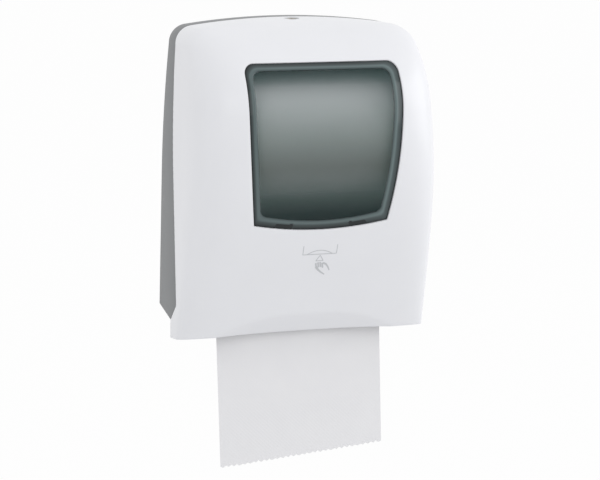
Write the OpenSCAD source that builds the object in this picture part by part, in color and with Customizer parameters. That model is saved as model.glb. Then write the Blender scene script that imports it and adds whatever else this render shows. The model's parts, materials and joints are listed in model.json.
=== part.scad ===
// Wall-hung roll towel dispenser with a towel-driven drum that cuts each sheet by itself.
// X runs to the right, Y into the wall, Z up. The wall is the plane y = 0 and the origin lies in it,
// at the centre of the four wall screws. Depths are measured out from the wall, heights up from the
// lowest edge of the cover, and every sub-part is lowered to the origin at the end.

/* [Towel and roll] */
// Width of the towel on the roll
towel_w = 200; // [180:1:215]
// Outside diameter of a full roll
roll_dia = 160; // [130:1:175]
// Bore of the card core
core_bore = 38; // [36:0.5:45]
// Wall of the card core
core_wall = 2.5; // [1.5:0.1:4]
// Thickness of the towel
sheet_t = 0.6; // [0.4:0.1:0.9]
// Length of towel below the cover at the left edge
tail_left = 159; // [100:1:220]
// Length of towel below the cover at the right edge
tail_right = 143; // [100:1:220]
// Sideways drift of the hanging towel at its lower edge
tail_drift = 4; // [0:0.5:8]
// Pitch of the cut teeth along the lower edge of the towel
tooth_pitch = 6.5; // [3:0.5:8]
// Depth of the cut teeth
tooth_depth = 2.5; // [1:0.1:3]
// Radial room between roll, web and core
paper_gap = 0.4; // [0.2:0.1:0.8]

/* [Casing] */
// Wall of the moulded casing
wall = 3; // [2:0.1:4]
// Room between the roll and the back wall
roll_back_room = 12; // [8:1:20]
// Room between the roll and the inside of the window
roll_front_room = 10; // [7:1:20]
// Room above the roll up to the top of the casing
head_room = 47; // [44:1:60]
// Room from the towel's edge to the outside of the casing at the bottom
side_room = 50.5; // [46:0.5:60]
// Room between the towel and the inside of the cover's lip
lip_room = 18.3; // [14:0.1:24]
// Sideways lean of the casing's sides for each millimetre of height
side_lean = 0.029; // [0.01:0.001:0.04]
// Extra drawing in of the sides from mid height to the top
shoulder = 8.5; // [4:0.5:12]
// Radius of the upper corners
corner_r = 22; // [12:1:30]
// Rise of the top edge at its middle
crown = 8; // [4:0.5:12]
// Height of the fullest part of the cover above the roll's axis
belly_rise = 27; // [15:1:40]
// Length over which the chin swells out from the lip
chin_pull = 110; // [80:1:130]
// Outward slope of the chin just above the lip
chin_slope = 0.5; // [0.3:0.05:0.7]
// Length over which the belly turns upright
belly_pull = 87; // [60:1:110]
// Squareness of the casing in plan, from the belly up
plan_power = 5.2; // [3.5:0.1:7]
// Squareness of the casing in plan at its lower edge
low_power = 8; // [5:0.5:10]
// Depth over which the sides run straight, from the belly up
straight_depth = 40; // [30:1:50]
// Depth over which the sides run straight at the lower edge
low_straight = 60; // [54:1:74]
// Depth of the seam between housing and cover at the top
seam_top = 28; // [22:1:36]
// Depth of the seam at its lowest wide point
seam_low = 83; // [74:1:92]
// Height of that point
seam_low_z = 38; // [34:1:46]
// Height of the lower edge of the back wall
back_low = 24; // [20:1:34]
// Depth of the pointed lower tip of the housing
tip_depth = 57; // [52:1:60]
// Height of the tip
tip_z = 16; // [15:1:20]
// Gap left along the seam
seam_gap = 0.5; // [0.3:0.1:1]

/* [Window] */
// Width of the window at its top
window_top_w = 178; // [150:1:185]
// Width at the height of the roll's axis
window_mid_w = 176; // [150:1:185]
// Width at the lower corners
window_low_w = 157; // [130:1:180]
// Height of the window above the roll's axis
window_up = 85; // [60:1:88]
// Height of the lower corners below the roll's axis
window_down = 96; // [60:1:104]
// Sag of the lower edge at its middle
window_sag = 8; // [2:0.5:10]
// Radius of the upper corners of the window
window_r = 12; // [6:1:20]
// Clearance of the pane in its opening
pane_gap = 0.3; // [0.2:0.1:0.6]
// Depth of the pane's face behind the cover's face
pane_set = 0.8; // [0.4:0.1:1.5]
// Thickness of the pane's flange behind the cover
pane_t = 2; // [1.5:0.1:3]
// Overlap of the flange behind the cover
pane_lap = 6; // [4:0.5:8]

/* [Drum and knife] */
// Outside diameter of the drum
drum_dia = 68; // [64:1:74]
// Wall of the drum
drum_wall = 3; // [2:0.1:3.5]
// Room between the drum and the back wall
drum_back_room = 3; // [3:0.5:6]
// Height of the drum's axis
drum_z = 75; // [73:1:82]
// Diameter of the drum's shaft
shaft_dia = 10; // [8:0.5:12]
// Angle of the knife slot at rest, up from the front of the drum
slot_rest = 110; // [100:1:120]
// Width of the knife slot
slot_w = 14; // [12:0.5:16]
// Reach of the knife's teeth from its pivot
knife_reach = 35; // [33:0.5:35.5]
// Angle of the knife at rest, up from the tangent of the slot
knife_rest = 18; // [15:1:20]
// Swing of the knife for each degree of the drum
knife_ratio = 0.22; // [0.18:0.01:0.24]
// Stroke of the drum in one pull, in degrees
stroke = 160; // [120:5:160]
// Diameter of the knife's pivot rod
pivot_dia = 6; // [5:0.5:7]
// Length of the follower levers
lever_len = 9; // [8:0.5:10]
// Diameter of the follower rollers
follower_dia = 5; // [4.5:0.1:6]
// Diameter of the hand wheel
knob_dia = 36; // [28:1:44]
// Number of finger grooves round the hand wheel
knob_grooves = 10; // [6:1:14]

/* [Pressure roller] */
// Diameter of the pressure roller
roller_dia = 16; // [14:0.5:18]
// Diameter of its shaft
roller_shaft_dia = 6; // [5:0.5:7]
// Diameter of the pivot rod of the arms
arm_rod_dia = 6; // [5:0.5:7]
// Wire of the torsion springs
wire_dia = 1.4; // [1:0.1:1.6]
// Turns of each torsion spring
spring_turns = 5; // [3:1:6]
// Pitch of the turns
spring_pitch = 2.1; // [2.1:0.05:2.3]

/* [Chassis] */
// Thickness of the side plates and roll arms
plate_t = 3; // [2:0.1:4]
// Room between the towel's edge and the side plates
plate_room = 11; // [11:0.5:13]
// Diameter of the towel guide bar
guide_dia = 8; // [6:0.5:9]
// Height of the guide bar above the drum's axis
guide_rise = 40; // [36:1:44]
// Diameter of the rear tie bar
tie_dia = 8; // [6:0.5:10]
// Room between drum and roll
feed_room = 46; // [46:1:60]
// Running clearance of shafts and pins
fit = 0.05; // [0.02:0.01:0.09]
// Room between pieces that pass or face each other
clear = 0.3; // [0.3:0.05:0.4]

/* [Wall mount] */
// Distance between the wall screws across
mount_w = 200; // [160:1:205]
// Distance between the wall screws up and down
mount_h = 180; // [150:1:184]
// Diameter of the wall screw holes
mount_dia = 6.5; // [4.5:0.5:8]

/* [Hinge and lock] */
// Diameter of the cover's hinge pins
hinge_dia = 6; // [5:0.5:7]
// Radius of the hinge eyes
eye_r = 7; // [6:0.5:7.5]
// Diameter of the lock's turning plug
plug_dia = 12; // [10:0.5:13]
// Length of the lock's cam from its axis
cam_len = 22; // [18:1:26]
// Width of the lock's cam
cam_w = 10; // [8:0.5:11]

/* [Hidden] */
$fn = 48;
housing_grey = "#8C9094";
cover_white = "#E4E6EA";
smoke = "#4A5654";
paper = "#E6E7E8";
steel = "#B4B8BC";
dark_plastic = "#3A3E42";
brass = "#B79A5A";

roll_r = roll_dia / 2;
drum_r = drum_dia / 2;
half_towel = towel_w / 2;

// Stations in depth, from the wall outwards
drum_d = wall + drum_back_room + drum_r;
web_d = drum_d + drum_r + clear;
tail_d = web_d + sheet_t + clear;
nip_d = tail_d + sheet_t + clear;
roller_d = nip_d + roller_dia / 2;
guide_d = nip_d + guide_dia / 2;
lip_depth = nip_d + lip_room + wall;
roll_d = wall + roll_back_room + roll_r;
front_depth = roll_d + roll_r + roll_front_room + wall;

// Stations in height, from the lowest edge of the cover upwards
guide_z = drum_z + guide_rise;
roll_z = drum_z + drum_r + feed_room + roll_r;
belly_z = roll_z + belly_rise;
body_h = roll_z + roll_r + head_room;
mid_z = body_h / 2;

// Stations across, from the middle outwards
half_bottom = half_towel + side_room;
plate_in = half_towel + plate_room;
plate_out = plate_in + plate_t;
flange_w = 12;
side_play = 0.5;
cap_t = 3;
cap_plug = 4;
slot_end = 5;
slot_back = 3;
knife_end = 6;
cap_out = half_towel + cap_t;
lever_in = cap_out + side_play;
lever_t = 3;
lever_out = lever_in + lever_t;
cam_t = 4;
cam_floor = 1;
cam_rim = 1;
cam_bore_room = 2;
bearing_wall = 3;
bearing_nose = 0.8;
seat = 0.2;
cam_in = plate_in - cam_t;

// Outline of the casing seen from the front
corner_end = 90 - atan(2 * crown / (half_bottom - side_lean * body_h - shoulder - corner_r));
corner_z = body_h - crown - corner_r * sin(corner_end);
corner_x = side_half(corner_z) - corner_r;
crown_z = corner_z + corner_r * sin(corner_end);
crown_x = corner_x + corner_r * cos(corner_end);

function side_half(z) = half_bottom - side_lean * z - shoulder * pow(max(0, z / mid_z - 1), 2);
function outline_half(z) = z <= corner_z ? side_half(z)
    : z <= crown_z ? corner_x + sqrt(pow(corner_r, 2) - pow(z - corner_z, 2))
    : crown_x * sqrt(max(0, body_h - z) / crown);

// Heights at which the casing is drawn: chin and belly, then the rounded top
side_steps = 11;
top_steps = 7;
corner_steps = 5;
crown_steps = 5;
crown_tip = 0.02;
chin_depth = lip_depth + chin_pull * chin_slope;
function bezier(t, a, b, c, d) = pow(1 - t, 3) * a + 3 * pow(1 - t, 2) * t * b
    + 3 * (1 - t) * t * t * c + pow(t, 3) * d;
function front_z(t) = bezier(t, 0, chin_pull, belly_z - belly_pull, belly_z);
function front_d(t) = bezier(t, lip_depth, chin_depth, front_depth, front_depth);
function top_depth(z) = seam_top + (front_depth - seam_top)
    * sqrt(max(0, 1 - pow((z - belly_z) / (body_h - belly_z), 2)));
chin_levels = [for (i = [0 : side_steps]) [front_z(i / side_steps), front_d(i / side_steps)]];
top_levels = concat(
    [for (i = [1 : top_steps]) belly_z + (corner_z - belly_z) * i / top_steps],
    [for (i = [1 : corner_steps]) corner_z + corner_r * sin(corner_end * i / corner_steps)],
    [for (i = [1 : crown_steps]) body_h - max(crown_tip, crown * pow(1 - i / crown_steps, 2))]);
levels = concat(chin_levels, [for (z = top_levels) [z, top_depth(z)]]);

// One plan section of the casing, drawn in by inset
ring_steps = 34;
function below_belly(z) = 1 - min(1, max(0, z / belly_z));
function straight(level) = min(0.72 * level[1],
    straight_depth + (low_straight - straight_depth) * below_belly(level[0]));
function squareness(z) = plan_power + (low_power - plan_power) * below_belly(z);
function section(level, inset) =
    let (w = outline_half(level[0]) - inset,
         d = level[1] - inset,
         s = straight(level),
         p = 2 / squareness(level[0]))
    concat(
        [for (i = [0 : ring_steps])
            let (a = 180 * i / ring_steps)
            [w * sign(cos(a)) * pow(abs(cos(a)), p), s + (d - s) * pow(sin(a), p)]],
        [[-w, 0], [w, 0]]);
// Half width inside the cover's wall at one depth of the lowest section
function inside_half(depth) =
    (half_bottom - wall) * pow(1 - pow(max(0, depth - low_straight)
        / (lip_depth - wall - low_straight), low_power), 1 / low_power);

// Knife, in the plane of the drum: x along the tangent of the slot, y out through the slot
knife_pivot = [-0.59 * drum_r, 0.29 * drum_r];
lever_rest = 200;
function turned(p, a) = [p[0] * cos(a) - p[1] * sin(a), p[0] * sin(a) + p[1] * cos(a)];
function polar(r, a) = [r * cos(a), r * sin(a)];
follower_rest = knife_pivot + polar(lever_len, lever_rest);
follower_pin_r = follower_dia / 2 - 1;
// A point of the knife's plane at rest, in depth and height
function drum_at(p) = [drum_d, drum_z] + turned(p, slot_rest - 90);
// Centre of a follower roller, from the drum's axis, when the drum has turned by a
function follower_at(a) =
    turned(knife_pivot + polar(lever_len, lever_rest + knife_ratio * a), slot_rest - 90 - a);

// Hinge axis of the cover
hinge_out = 4;
hinge_drop = 8;
hinge_d = tip_depth + hinge_out;
hinge_z = tip_z - hinge_drop;
ear_room = 4;
ear_root = 22;
ear_in = plate_out + ear_room;
ear_t = 6;
ear_out = ear_in + ear_t;
strap_gap = 2;
strap_room = 12;
strap_in = ear_out + strap_gap;
strap_front = lip_depth - strap_room;
strap_out = inside_half(strap_front) - clear;
strap_t = 6;

// Lock, upright through the top of the cover
lock_room = 20;
lock_sink = 0.6;
lock_d = seam_top + lock_room;
lock_top = top_depth_z(lock_d) - lock_sink;
function top_depth_z(d) = belly_z + (body_h - belly_z)
    * sqrt(1 - pow((d - seam_top) / (front_depth - seam_top), 2));
lock_wall = 2.7;
lock_len = 22;
lock_flange = 4;
lock_flange_t = 3;
lock_flange_drop = 6;
cam_drop = 4;
cam_z = lock_top - lock_len - cam_drop;
lock_cam_t = 3;
keeper_w = 12;
keeper_gap = 1.3;
keeper_t = 3;
keeper_foot = 8;
keeper_drop = 10;
keeper_lip = 2;
keeper_top_gap = 0.8;
cam_play = 0.5;
keeper_x = plug_dia / 2 + lock_wall + keeper_gap;

// Pressure arms
arm_back = 12;
arm_rise = 37;
arm_rod_d = roller_d + arm_back;
arm_rod_z = drum_z + arm_rise;
arm_in = half_towel + side_play;
arm_t = 3;
rod_boss = 4;
shaft_boss = 3;
shaft_end = 1.5;
arm_out = arm_in + arm_t;
roller_half = half_towel - 2;

// Roll arms
hub_in = half_towel + clear;
hub_t = 2.7;
roll_arm_in = hub_in + hub_t;
roll_arm_out = roll_arm_in + plate_t;
roll_arm_h = 26;
knuckle_r = 6;
swing_x = roll_arm_in + knuckle_r;
swing_d = wall + plate_t + side_play + knuckle_r;
swing_pin_dia = 6;
lug_h = 9;
spigot_len = 12;
spigot_play = 1.5;
spigot_taper = 5;
hub_rim = 5;
hub_r = core_bore / 2 + hub_rim;
foot_w = 24;
arm_head_r = roll_arm_h / 2 + lug_h;
pin_end = 1.5;
swing_pin_len = roll_arm_h + 2 * lug_h + 2 * pin_end;

// Chassis screws: across, height
screw_dia = 4;
screw_head_t = 2.4;
tie_out = 13;
tie_drop = 10;
screw_bite = 2;
flange_low = 62;
flange_high = guide_z + 25;
flange_x = plate_out + flange_w / 2;
bracket_screw_x = swing_x + knuckle_r + 4;
chassis_screw_sites = concat(
    [for (s = [-1, 1], z = [flange_low + 12, flange_high - 12]) [s * flange_x, z]],
    [for (s = [-1, 1], z = [-1, 1]) [s * bracket_screw_x, roll_z + z * (roll_arm_h / 2)]]);

// Path of the web: off the roll's front, round the guide bar, down past the drum
web_end = 8;
web_bend = guide_d - web_d - sheet_t / 2;
web_line = [guide_d - roll_d, guide_z - roll_z];
web_lean = atan2(web_line[1], web_line[0])
    - asin((roll_r + paper_gap + sheet_t / 2 + web_bend) / norm(web_line));
web_normal = [-sin(web_lean), cos(web_lean)];
web_steps = 5;
function web_side(s) = concat(
    [[roll_d, roll_z] + web_normal * (roll_r + paper_gap + sheet_t / 2 + s)],
    [for (i = [0 : web_steps]) [guide_d, guide_z] + polar(web_bend - s, web_bend_at(i))],
    [[guide_d - web_bend + s, web_end]]);
function web_bend_at(i) =
    let (from = atan2(-web_normal[1], -web_normal[0]),
         start = from < 0 ? from + 360 : from)
    start + (180 - start) * i / web_steps;

// Lowers a piece from the heights above the cover's edge to the origin at the wall mount
module hung() { translate([0, 0, -roll_z]) children(); }
// Both sides of the dispenser
module both_sides() { children(); mirror([1, 0, 0]) children(); }
// A flat shape in depth and height, given a thickness across from x0 to x1
module slab(x0, x1) {
    translate([x1, 0, 0]) rotate([90, 0, -90]) linear_extrude(x1 - x0) children();
}
// A flat shape in width and height, given a depth from d0 to d1
module panel(d0, d1) {
    translate([0, -d0, 0]) rotate([90, 0, 0]) linear_extrude(d1 - d0) children();
}
// A round bar across from x0 to x1
module rod(x0, x1, d, z, r) {
    translate([x0, -d, z]) rotate([0, 90, 0]) cylinder(h = x1 - x0, r = r);
}
// A round pin out from the wall
module stud(x, z, d0, d1, r) {
    translate([x, -d0, z]) rotate([90, 0, 0]) cylinder(h = d1 - d0, r = r);
}
// The drum's plane at rest: flat shapes in the knife's own directions
module in_drum(x0, x1) {
    slab(x0, x1) translate([drum_d, drum_z]) rotate(slot_rest - 90) children();
}
// A straight lever from x0 to x1 with a round boss at each end; its bar runs past both centres
module lever(x0, x1, p, q, rp, rq) {
    slim = 0.8;
    tuck = 0.5;
    u = (q - p) / norm(q - p);
    n = [-u[1], u[0]];
    a = p - u * rp * tuck;
    b = q + u * rq * tuck;
    slab(x0, x1) translate(p) circle(rp);
    slab(x0, x1) translate(q) circle(rq);
    slab(x0, x1) polygon([a + n * rp * slim, b + n * rq * slim, b - n * rq * slim, a - n * rp * slim]);
}

// Casing

function outline_points(inset) =
    let (side = concat([0, mid_z], [for (i = [1 : 4]) mid_z + (corner_z - mid_z) * i / 4],
            [for (z = top_levels) if (z > corner_z) z]),
         right = [for (z = side) [outline_half(z) - inset, z - (z > corner_z ? inset : 0)]],
         count = len(right))
    concat(right, [for (i = [1 : count]) [-right[count - i][0], right[count - i][1]]]);

chamfer_slope = (back_low - tip_z) / tip_depth;
floor_rise = wall * sqrt(1 + pow(chamfer_slope, 2));
function chamfer_z(d) = back_low - chamfer_slope * d;

module housing_side() {
    polygon([[0, back_low], [tip_depth, tip_z], [seam_low, seam_low_z], [seam_top, body_h],
        [seam_top, body_h + 1], [0, body_h + 1]]);
}

module back_housing() {
    color(housing_grey) hung() difference() {
        union() {
            difference() {
                intersection() {
                    panel(0, seam_low + 1) polygon(outline_points(0));
                    slab(-half_bottom - 1, half_bottom + 1) housing_side();
                }
                intersection() {
                    panel(wall, seam_low + 2) polygon(outline_points(wall));
                    slab(-half_bottom - 1, half_bottom + 1) polygon([
                        [wall, chamfer_z(wall) + floor_rise],
                        [seam_low + 2, chamfer_z(seam_low + 2) + floor_rise],
                        [seam_low + 2, body_h + 2], [wall, body_h + 2]]);
                }
            }
            both_sides() slab(ear_in, ear_out) {
                translate([hinge_d, hinge_z]) circle(eye_r);
                polygon([[tip_depth - 1, chamfer_z(tip_depth - 1) + floor_rise / 2],
                    [tip_depth - ear_root, chamfer_z(tip_depth - ear_root) + floor_rise / 2],
                    [hinge_d - eye_r, hinge_z], [hinge_d + eye_r / 2, hinge_z + 0.8 * eye_r]]);
            }
        }
        both_sides() rod(ear_in - 1, ear_out + 1, hinge_d, hinge_z, hinge_dia / 2 + fit / 2);
        for (x = [-1, 1], z = [-1, 1])
            stud(x * mount_w / 2, roll_z + z * mount_h / 2, -1, wall + 1, mount_dia / 2);
        for (s = chassis_screw_sites)
            stud(s[0], s[1], wall - screw_bite, wall + 1, screw_dia / 2 + fit);
    }
}

// The casing as one solid, drawn in by inset; a drawn-in casing runs on below its open lower edge
module casing(inset) {
    drop = inset > 0 ? 5 : 0;
    squeeze = (body_h - inset) / body_h;
    shown = concat(inset > 0 ? [concat([-drop / squeeze], [levels[0][1]])] : [], levels);
    n = ring_steps + 3;
    rings = len(shown);
    points = [for (level = shown) for (p = section(level, inset)) [p[0], -p[1], level[0] * squeeze]];
    sides = [for (i = [0 : rings - 2]) for (j = [0 : n - 1])
        let (a = i * n + j, b = i * n + (j + 1) % n)
        each [[a, b, b + n], [a, b + n, a + n]]];
    floor_face = [for (j = [0 : n - 1]) n - 1 - j];
    roof_face = [for (j = [0 : n - 1]) (rings - 1) * n + j];
    polyhedron(points, concat(sides, [floor_face, roof_face]));
}

window_low = roll_z - window_down;
window_high = roll_z + window_up;
// Half width of the window: one smooth curve through its three widths
function window_half(z) =
    let (a = window_low, b = roll_z, c = window_high)
    window_low_w / 2 * (z - b) * (z - c) / ((a - b) * (a - c))
    + window_mid_w / 2 * (z - a) * (z - c) / ((b - a) * (b - c))
    + window_top_w / 2 * (z - a) * (z - b) / ((c - a) * (c - b));
function window_points(grow) =
    let (r = window_r + grow,
         top = window_high + grow,
         low = window_low - grow,
         turn = top - r,
         side_n = 7,
         turn_n = 6,
         sag_n = 6,
         right = concat(
            [for (i = [0 : side_n]) let (z = low + (turn - low) * i / side_n) [window_half(z) + grow, z]],
            [for (i = [1 : turn_n]) [window_half(turn) + grow - r, turn] + polar(r, 90 * i / turn_n)]),
         count = len(right),
         w = right[0][0])
    concat(right, [for (i = [1 : count]) [-right[count - i][0], right[count - i][1]]],
        [for (i = [1 : 2 * sag_n - 1])
            let (x = -w + w * i / sag_n) [x, low - window_sag * (1 - pow(x / w, 2))]]);

// The cover and its pane are drawn as single skins, so they pass through resize() unchanged in size
module front_cover() {
    color(cover_white) hung() resize([0, 0, 0]) difference() {
        casing(0);
        casing(wall);
        slab(-half_bottom - 1, half_bottom + 1) polygon([[-1, -6], [tip_depth + seam_gap, -6],
            [tip_depth + seam_gap, tip_z], [seam_low + seam_gap, seam_low_z],
            [seam_top + seam_gap, body_h], [seam_top + seam_gap, body_h + 1], [-1, body_h + 1]]);
        panel(seam_low + 5, front_depth + 5) polygon(window_points(0));
        translate([0, -lock_d, body_h - 30]) cylinder(h = 40, r = plug_dia / 2 + lock_wall + clear);
    }
}

module window_pane() {
    color(smoke) hung() resize([0, 0, 0]) union() {
        intersection() {
            difference() {
                casing(pane_set);
                casing(wall + clear + pane_t / 2);
            }
            panel(seam_low + 5, front_depth + 5) polygon(window_points(-pane_gap));
        }
        intersection() {
            difference() {
                casing(wall + clear);
                casing(wall + clear + pane_t);
            }
            panel(seam_low + 5, front_depth + 5) polygon(window_points(pane_lap));
        }
    }
}

module hinge_straps() {
    color(cover_white) hung() both_sides() difference() {
        union() {
            rod(strap_in, strap_out, hinge_d, hinge_z, eye_r);
            slab(strap_out - strap_t, strap_out)
                polygon([[hinge_d, hinge_z - eye_r], [strap_front, hinge_z - eye_r],
                    [strap_front, hinge_z + 4], [hinge_d, hinge_z + eye_r]]);
        }
        rod(strap_in - 1, strap_out + 1, hinge_d, hinge_z, hinge_dia / 2 + fit);
    }
}

module hinge_pins() {
    color(steel) hung() both_sides() rod(ear_in - 2, strap_out - 1, hinge_d, hinge_z, hinge_dia / 2);
}

// Lock

module lock_body() {
    r = plug_dia / 2;
    color(steel) hung() translate([0, -lock_d, lock_top - lock_len]) difference() {
        union() {
            cylinder(h = lock_len, r = r + lock_wall);
            translate([0, 0, lock_len - wall - lock_flange_drop])
                cylinder(h = lock_flange_t, r = r + lock_wall + lock_flange);
        }
        translate([0, 0, -1]) cylinder(h = lock_len + 2, r = r + fit);
    }
}

module lock_plug() {
    slot = [1.6, 7, 4];
    color(brass) hung() translate([0, -lock_d, cam_z + lock_cam_t]) difference() {
        cylinder(h = lock_top - cam_z - lock_cam_t - 0.4, r = plug_dia / 2);
        translate([-slot[0] / 2, -slot[1] / 2, lock_top - cam_z - lock_cam_t - slot[2]]) cube(slot);
    }
}

module lock_cam() {
    color(steel) hung() translate([0, -lock_d, cam_z]) linear_extrude(lock_cam_t) {
        circle(plug_dia / 2);
        translate([-cam_w / 2, 0]) square([cam_w, cam_len]);
    }
}

module lock_keeper() {
    foot_d = seam_top - keeper_foot;
    hook_d = lock_d + cam_w / 2 + cam_play;
    hook_low = cam_z - keeper_drop;
    hook_high = cam_z + lock_cam_t + keeper_lip;
    foot_high = body_h - wall - keeper_top_gap;
    color(housing_grey) hung() slab(keeper_x, keeper_x + keeper_w) polygon([
        [foot_d, foot_high], [foot_d, hook_low], [hook_d + keeper_t, hook_low],
        [hook_d + keeper_t, hook_high], [hook_d, hook_high],
        [hook_d, hook_low + keeper_t], [foot_d + keeper_t, hook_low + keeper_t],
        [foot_d + keeper_t, foot_high]]);
}

// Chassis

module side_plate() {
    difference() {
        union() {
            slab(plate_in, plate_out) polygon([[wall, flange_low], [wall, flange_high],
                [30, flange_high + 8], [guide_d + 5, flange_high], [arm_rod_d + 10, arm_rod_z + 12],
                [arm_rod_d + 10, arm_rod_z - 16], [drum_d + drum_r + 6, drum_z - 25],
                [drum_d + 20, drum_z - drum_r - 9], [30, drum_z - drum_r - 7], [14, drum_z - 30]]);
            translate([plate_out - 1, -wall - plate_t, flange_low])
                cube([flange_w + 1, plate_t, flange_high - flange_low]);
        }
        rod(plate_in - 1, plate_out + 1, drum_d, drum_z, shaft_dia / 2 + bearing_wall + fit);
        rod(plate_in - 1, plate_out + 1, arm_rod_d, arm_rod_z, arm_rod_dia / 2 + fit / 2);
        screw_holes();
    }
}

module left_side_plate() { color(steel) hung() mirror([1, 0, 0]) side_plate(); }
module right_side_plate() { color(steel) hung() side_plate(); }

module bearing() {
    difference() {
        union() {
            rod(plate_in, plate_out, drum_d, drum_z, shaft_dia / 2 + bearing_wall);
            rod(plate_in - bearing_nose, plate_in, drum_d, drum_z, shaft_dia / 2 + 0.6 * bearing_wall);
        }
        rod(plate_in - 2, plate_out + 1, drum_d, drum_z, shaft_dia / 2 + fit);
    }
}

module left_bearing() { color(brass) hung() mirror([1, 0, 0]) bearing(); }
module right_bearing() { color(brass) hung() bearing(); }

module rear_tie_bar() {
    color(steel) hung() rod(-plate_in, plate_in, wall + tie_out, flange_high - tie_drop, tie_dia / 2);
}

module guide_bar() {
    color(steel) hung() rod(-plate_in, plate_in, guide_d, guide_z, guide_dia / 2);
}

exit_room = 7;
exit_t = 2;
module exit_guide() {
    r = drum_r + exit_room;
    steps = 10;
    from = -48;
    to = -104;
    arc = [for (i = [0 : steps]) from + (to - from) * i / steps];
    color(dark_plastic) hung() slab(-plate_in + seat, plate_in - seat) translate([drum_d, drum_z])
        polygon(concat([for (a = arc) polar(r, a)],
            [for (i = [0 : steps]) polar(r + exit_t, arc[steps - i])]));
}

module pressure_pivot_rod() {
    color(steel) hung() rod(-plate_out, plate_out, arm_rod_d, arm_rod_z, arm_rod_dia / 2);
}

module knife_cam() {
    step = 8;
    lap = 8;
    half = follower_dia / 2 + clear;
    path = [for (a = [-lap : step : stroke + lap]) follower_at(a)];
    last = len(path) - 1;
    function across(i) =
        let (u = path[min(i + 1, last)] - path[max(i - 1, 0)]) [-u[1], u[0]] / norm(u);
    groove = concat([for (i = [0 : last]) path[i] + across(i) * half],
        [for (i = [0 : last]) path[last - i] - across(last - i) * half]);
    difference() {
        rod(cam_in, plate_in, drum_d, drum_z, drum_r + cam_rim);
        rod(cam_in - 1, plate_in + 1, drum_d, drum_z, shaft_dia / 2 + cam_bore_room);
        slab(cam_in - 1, plate_in - cam_floor) translate([drum_d, drum_z]) polygon(groove);
    }
}

module left_cam() { color(dark_plastic) hung() mirror([1, 0, 0]) knife_cam(); }
module right_cam() { color(dark_plastic) hung() knife_cam(); }

case_len = 12;
case_wall = 1.5;
case_r = 20;
module spring_case() {
    color(dark_plastic) hung() difference() {
        rod(-plate_out - case_len, -plate_out, drum_d, drum_z, case_r);
        rod(-plate_out - case_len + case_wall, -plate_out + 1, drum_d, drum_z, case_r - case_wall);
        rod(-plate_out - case_len - 1, -plate_out, drum_d, drum_z, shaft_dia / 2 + clear);
    }
}

module return_spring() {
    strip = 0.8;
    turns = 4;
    inner = shaft_dia / 2 + clear;
    outer = case_r - case_wall - clear - strip;
    steps = turns * 24;
    function spiral(i, s) = polar(inner + (outer - inner) * i / steps + s, 360 * turns * i / steps);
    color(steel) hung() slab(-plate_out - case_len + 2 * case_wall, -plate_out - case_wall)
        translate([drum_d, drum_z])
        polygon(concat([for (i = [0 : steps]) spiral(i, 0)],
            [for (i = [0 : steps]) spiral(steps - i, strip)]));
}

module chassis_screws() {
    color(steel) hung() for (s = chassis_screw_sites) {
        stud(s[0], s[1], wall - screw_bite + seat, wall + plate_t, screw_dia / 2);
        stud(s[0], s[1], wall + plate_t, wall + plate_t + screw_head_t, screw_dia);
    }
}

// Roll carrier

module arm_blade() {
    slab(roll_arm_in, roll_arm_out) {
        translate([roll_d, roll_z]) circle(arm_head_r);
        translate([swing_d, roll_z - roll_arm_h / 2]) square([roll_d - swing_d, roll_arm_h]);
    }
}

module foot_plate(x0) {
    translate([x0, -wall - plate_t, roll_z - roll_arm_h / 2 - lug_h])
        cube([foot_w, plate_t, roll_arm_h + 2 * lug_h]);
}

module screw_holes() {
    for (s = chassis_screw_sites)
        if (s[0] > 0) stud(s[0], s[1], 0, wall + plate_t + 1, screw_dia / 2 + fit);
}

// The hole for the pin that the right arm swings on
module swing_bore(play) {
    translate([swing_x, -swing_d, roll_z - swing_pin_len])
        cylinder(h = 2 * swing_pin_len, r = swing_pin_dia / 2 + play);
}

module left_roll_arm() {
    color(dark_plastic) hung() mirror([1, 0, 0]) difference() {
        union() {
            arm_blade();
            translate([roll_arm_in, -swing_d, roll_z - roll_arm_h / 2])
                cube([plate_t, swing_d - wall, roll_arm_h]);
            foot_plate(roll_arm_in);
        }
        screw_holes();
    }
}

module arm_bracket() {
    color(dark_plastic) hung() difference() {
        union() {
            foot_plate(roll_arm_in);
            for (z = [roll_z - roll_arm_h / 2 - lug_h, roll_z + roll_arm_h / 2 + clear])
                translate([roll_arm_in, -swing_d, z]) {
                    translate([knuckle_r, 0, 0]) cylinder(h = lug_h - clear, r = knuckle_r);
                    cube([2 * knuckle_r, swing_d - wall - 1, lug_h - clear]);
                }
        }
        swing_bore(fit / 2);
        screw_holes();
    }
}

module arm_pivot_pin() {
    color(steel) hung() translate([swing_x, -swing_d, roll_z - swing_pin_len / 2])
        cylinder(h = swing_pin_len, r = swing_pin_dia / 2);
}

module right_roll_arm() {
    color(dark_plastic) hung() difference() {
        union() {
            arm_blade();
            translate([swing_x, -swing_d, roll_z - roll_arm_h / 2]) cylinder(h = roll_arm_h, r = knuckle_r);
        }
        swing_bore(fit);
    }
}

module roll_hub() {
    spigot_r = core_bore / 2 - spigot_play;
    rod(hub_in, roll_arm_in, roll_d, roll_z, hub_r);
    translate([hub_in - spigot_len, -roll_d, roll_z]) rotate([0, 90, 0])
        cylinder(h = spigot_len + hub_t / 2, r1 = spigot_r - spigot_taper, r2 = spigot_r);
}

module left_roll_hub() { color(cover_white) hung() mirror([1, 0, 0]) roll_hub(); }
module right_roll_hub() { color(cover_white) hung() roll_hub(); }

module roll_core() {
    color("#B08D63") hung() difference() {
        rod(-half_towel, half_towel, roll_d, roll_z, core_bore / 2 + core_wall);
        rod(-half_towel - 1, half_towel + 1, roll_d, roll_z, core_bore / 2);
    }
}

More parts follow.
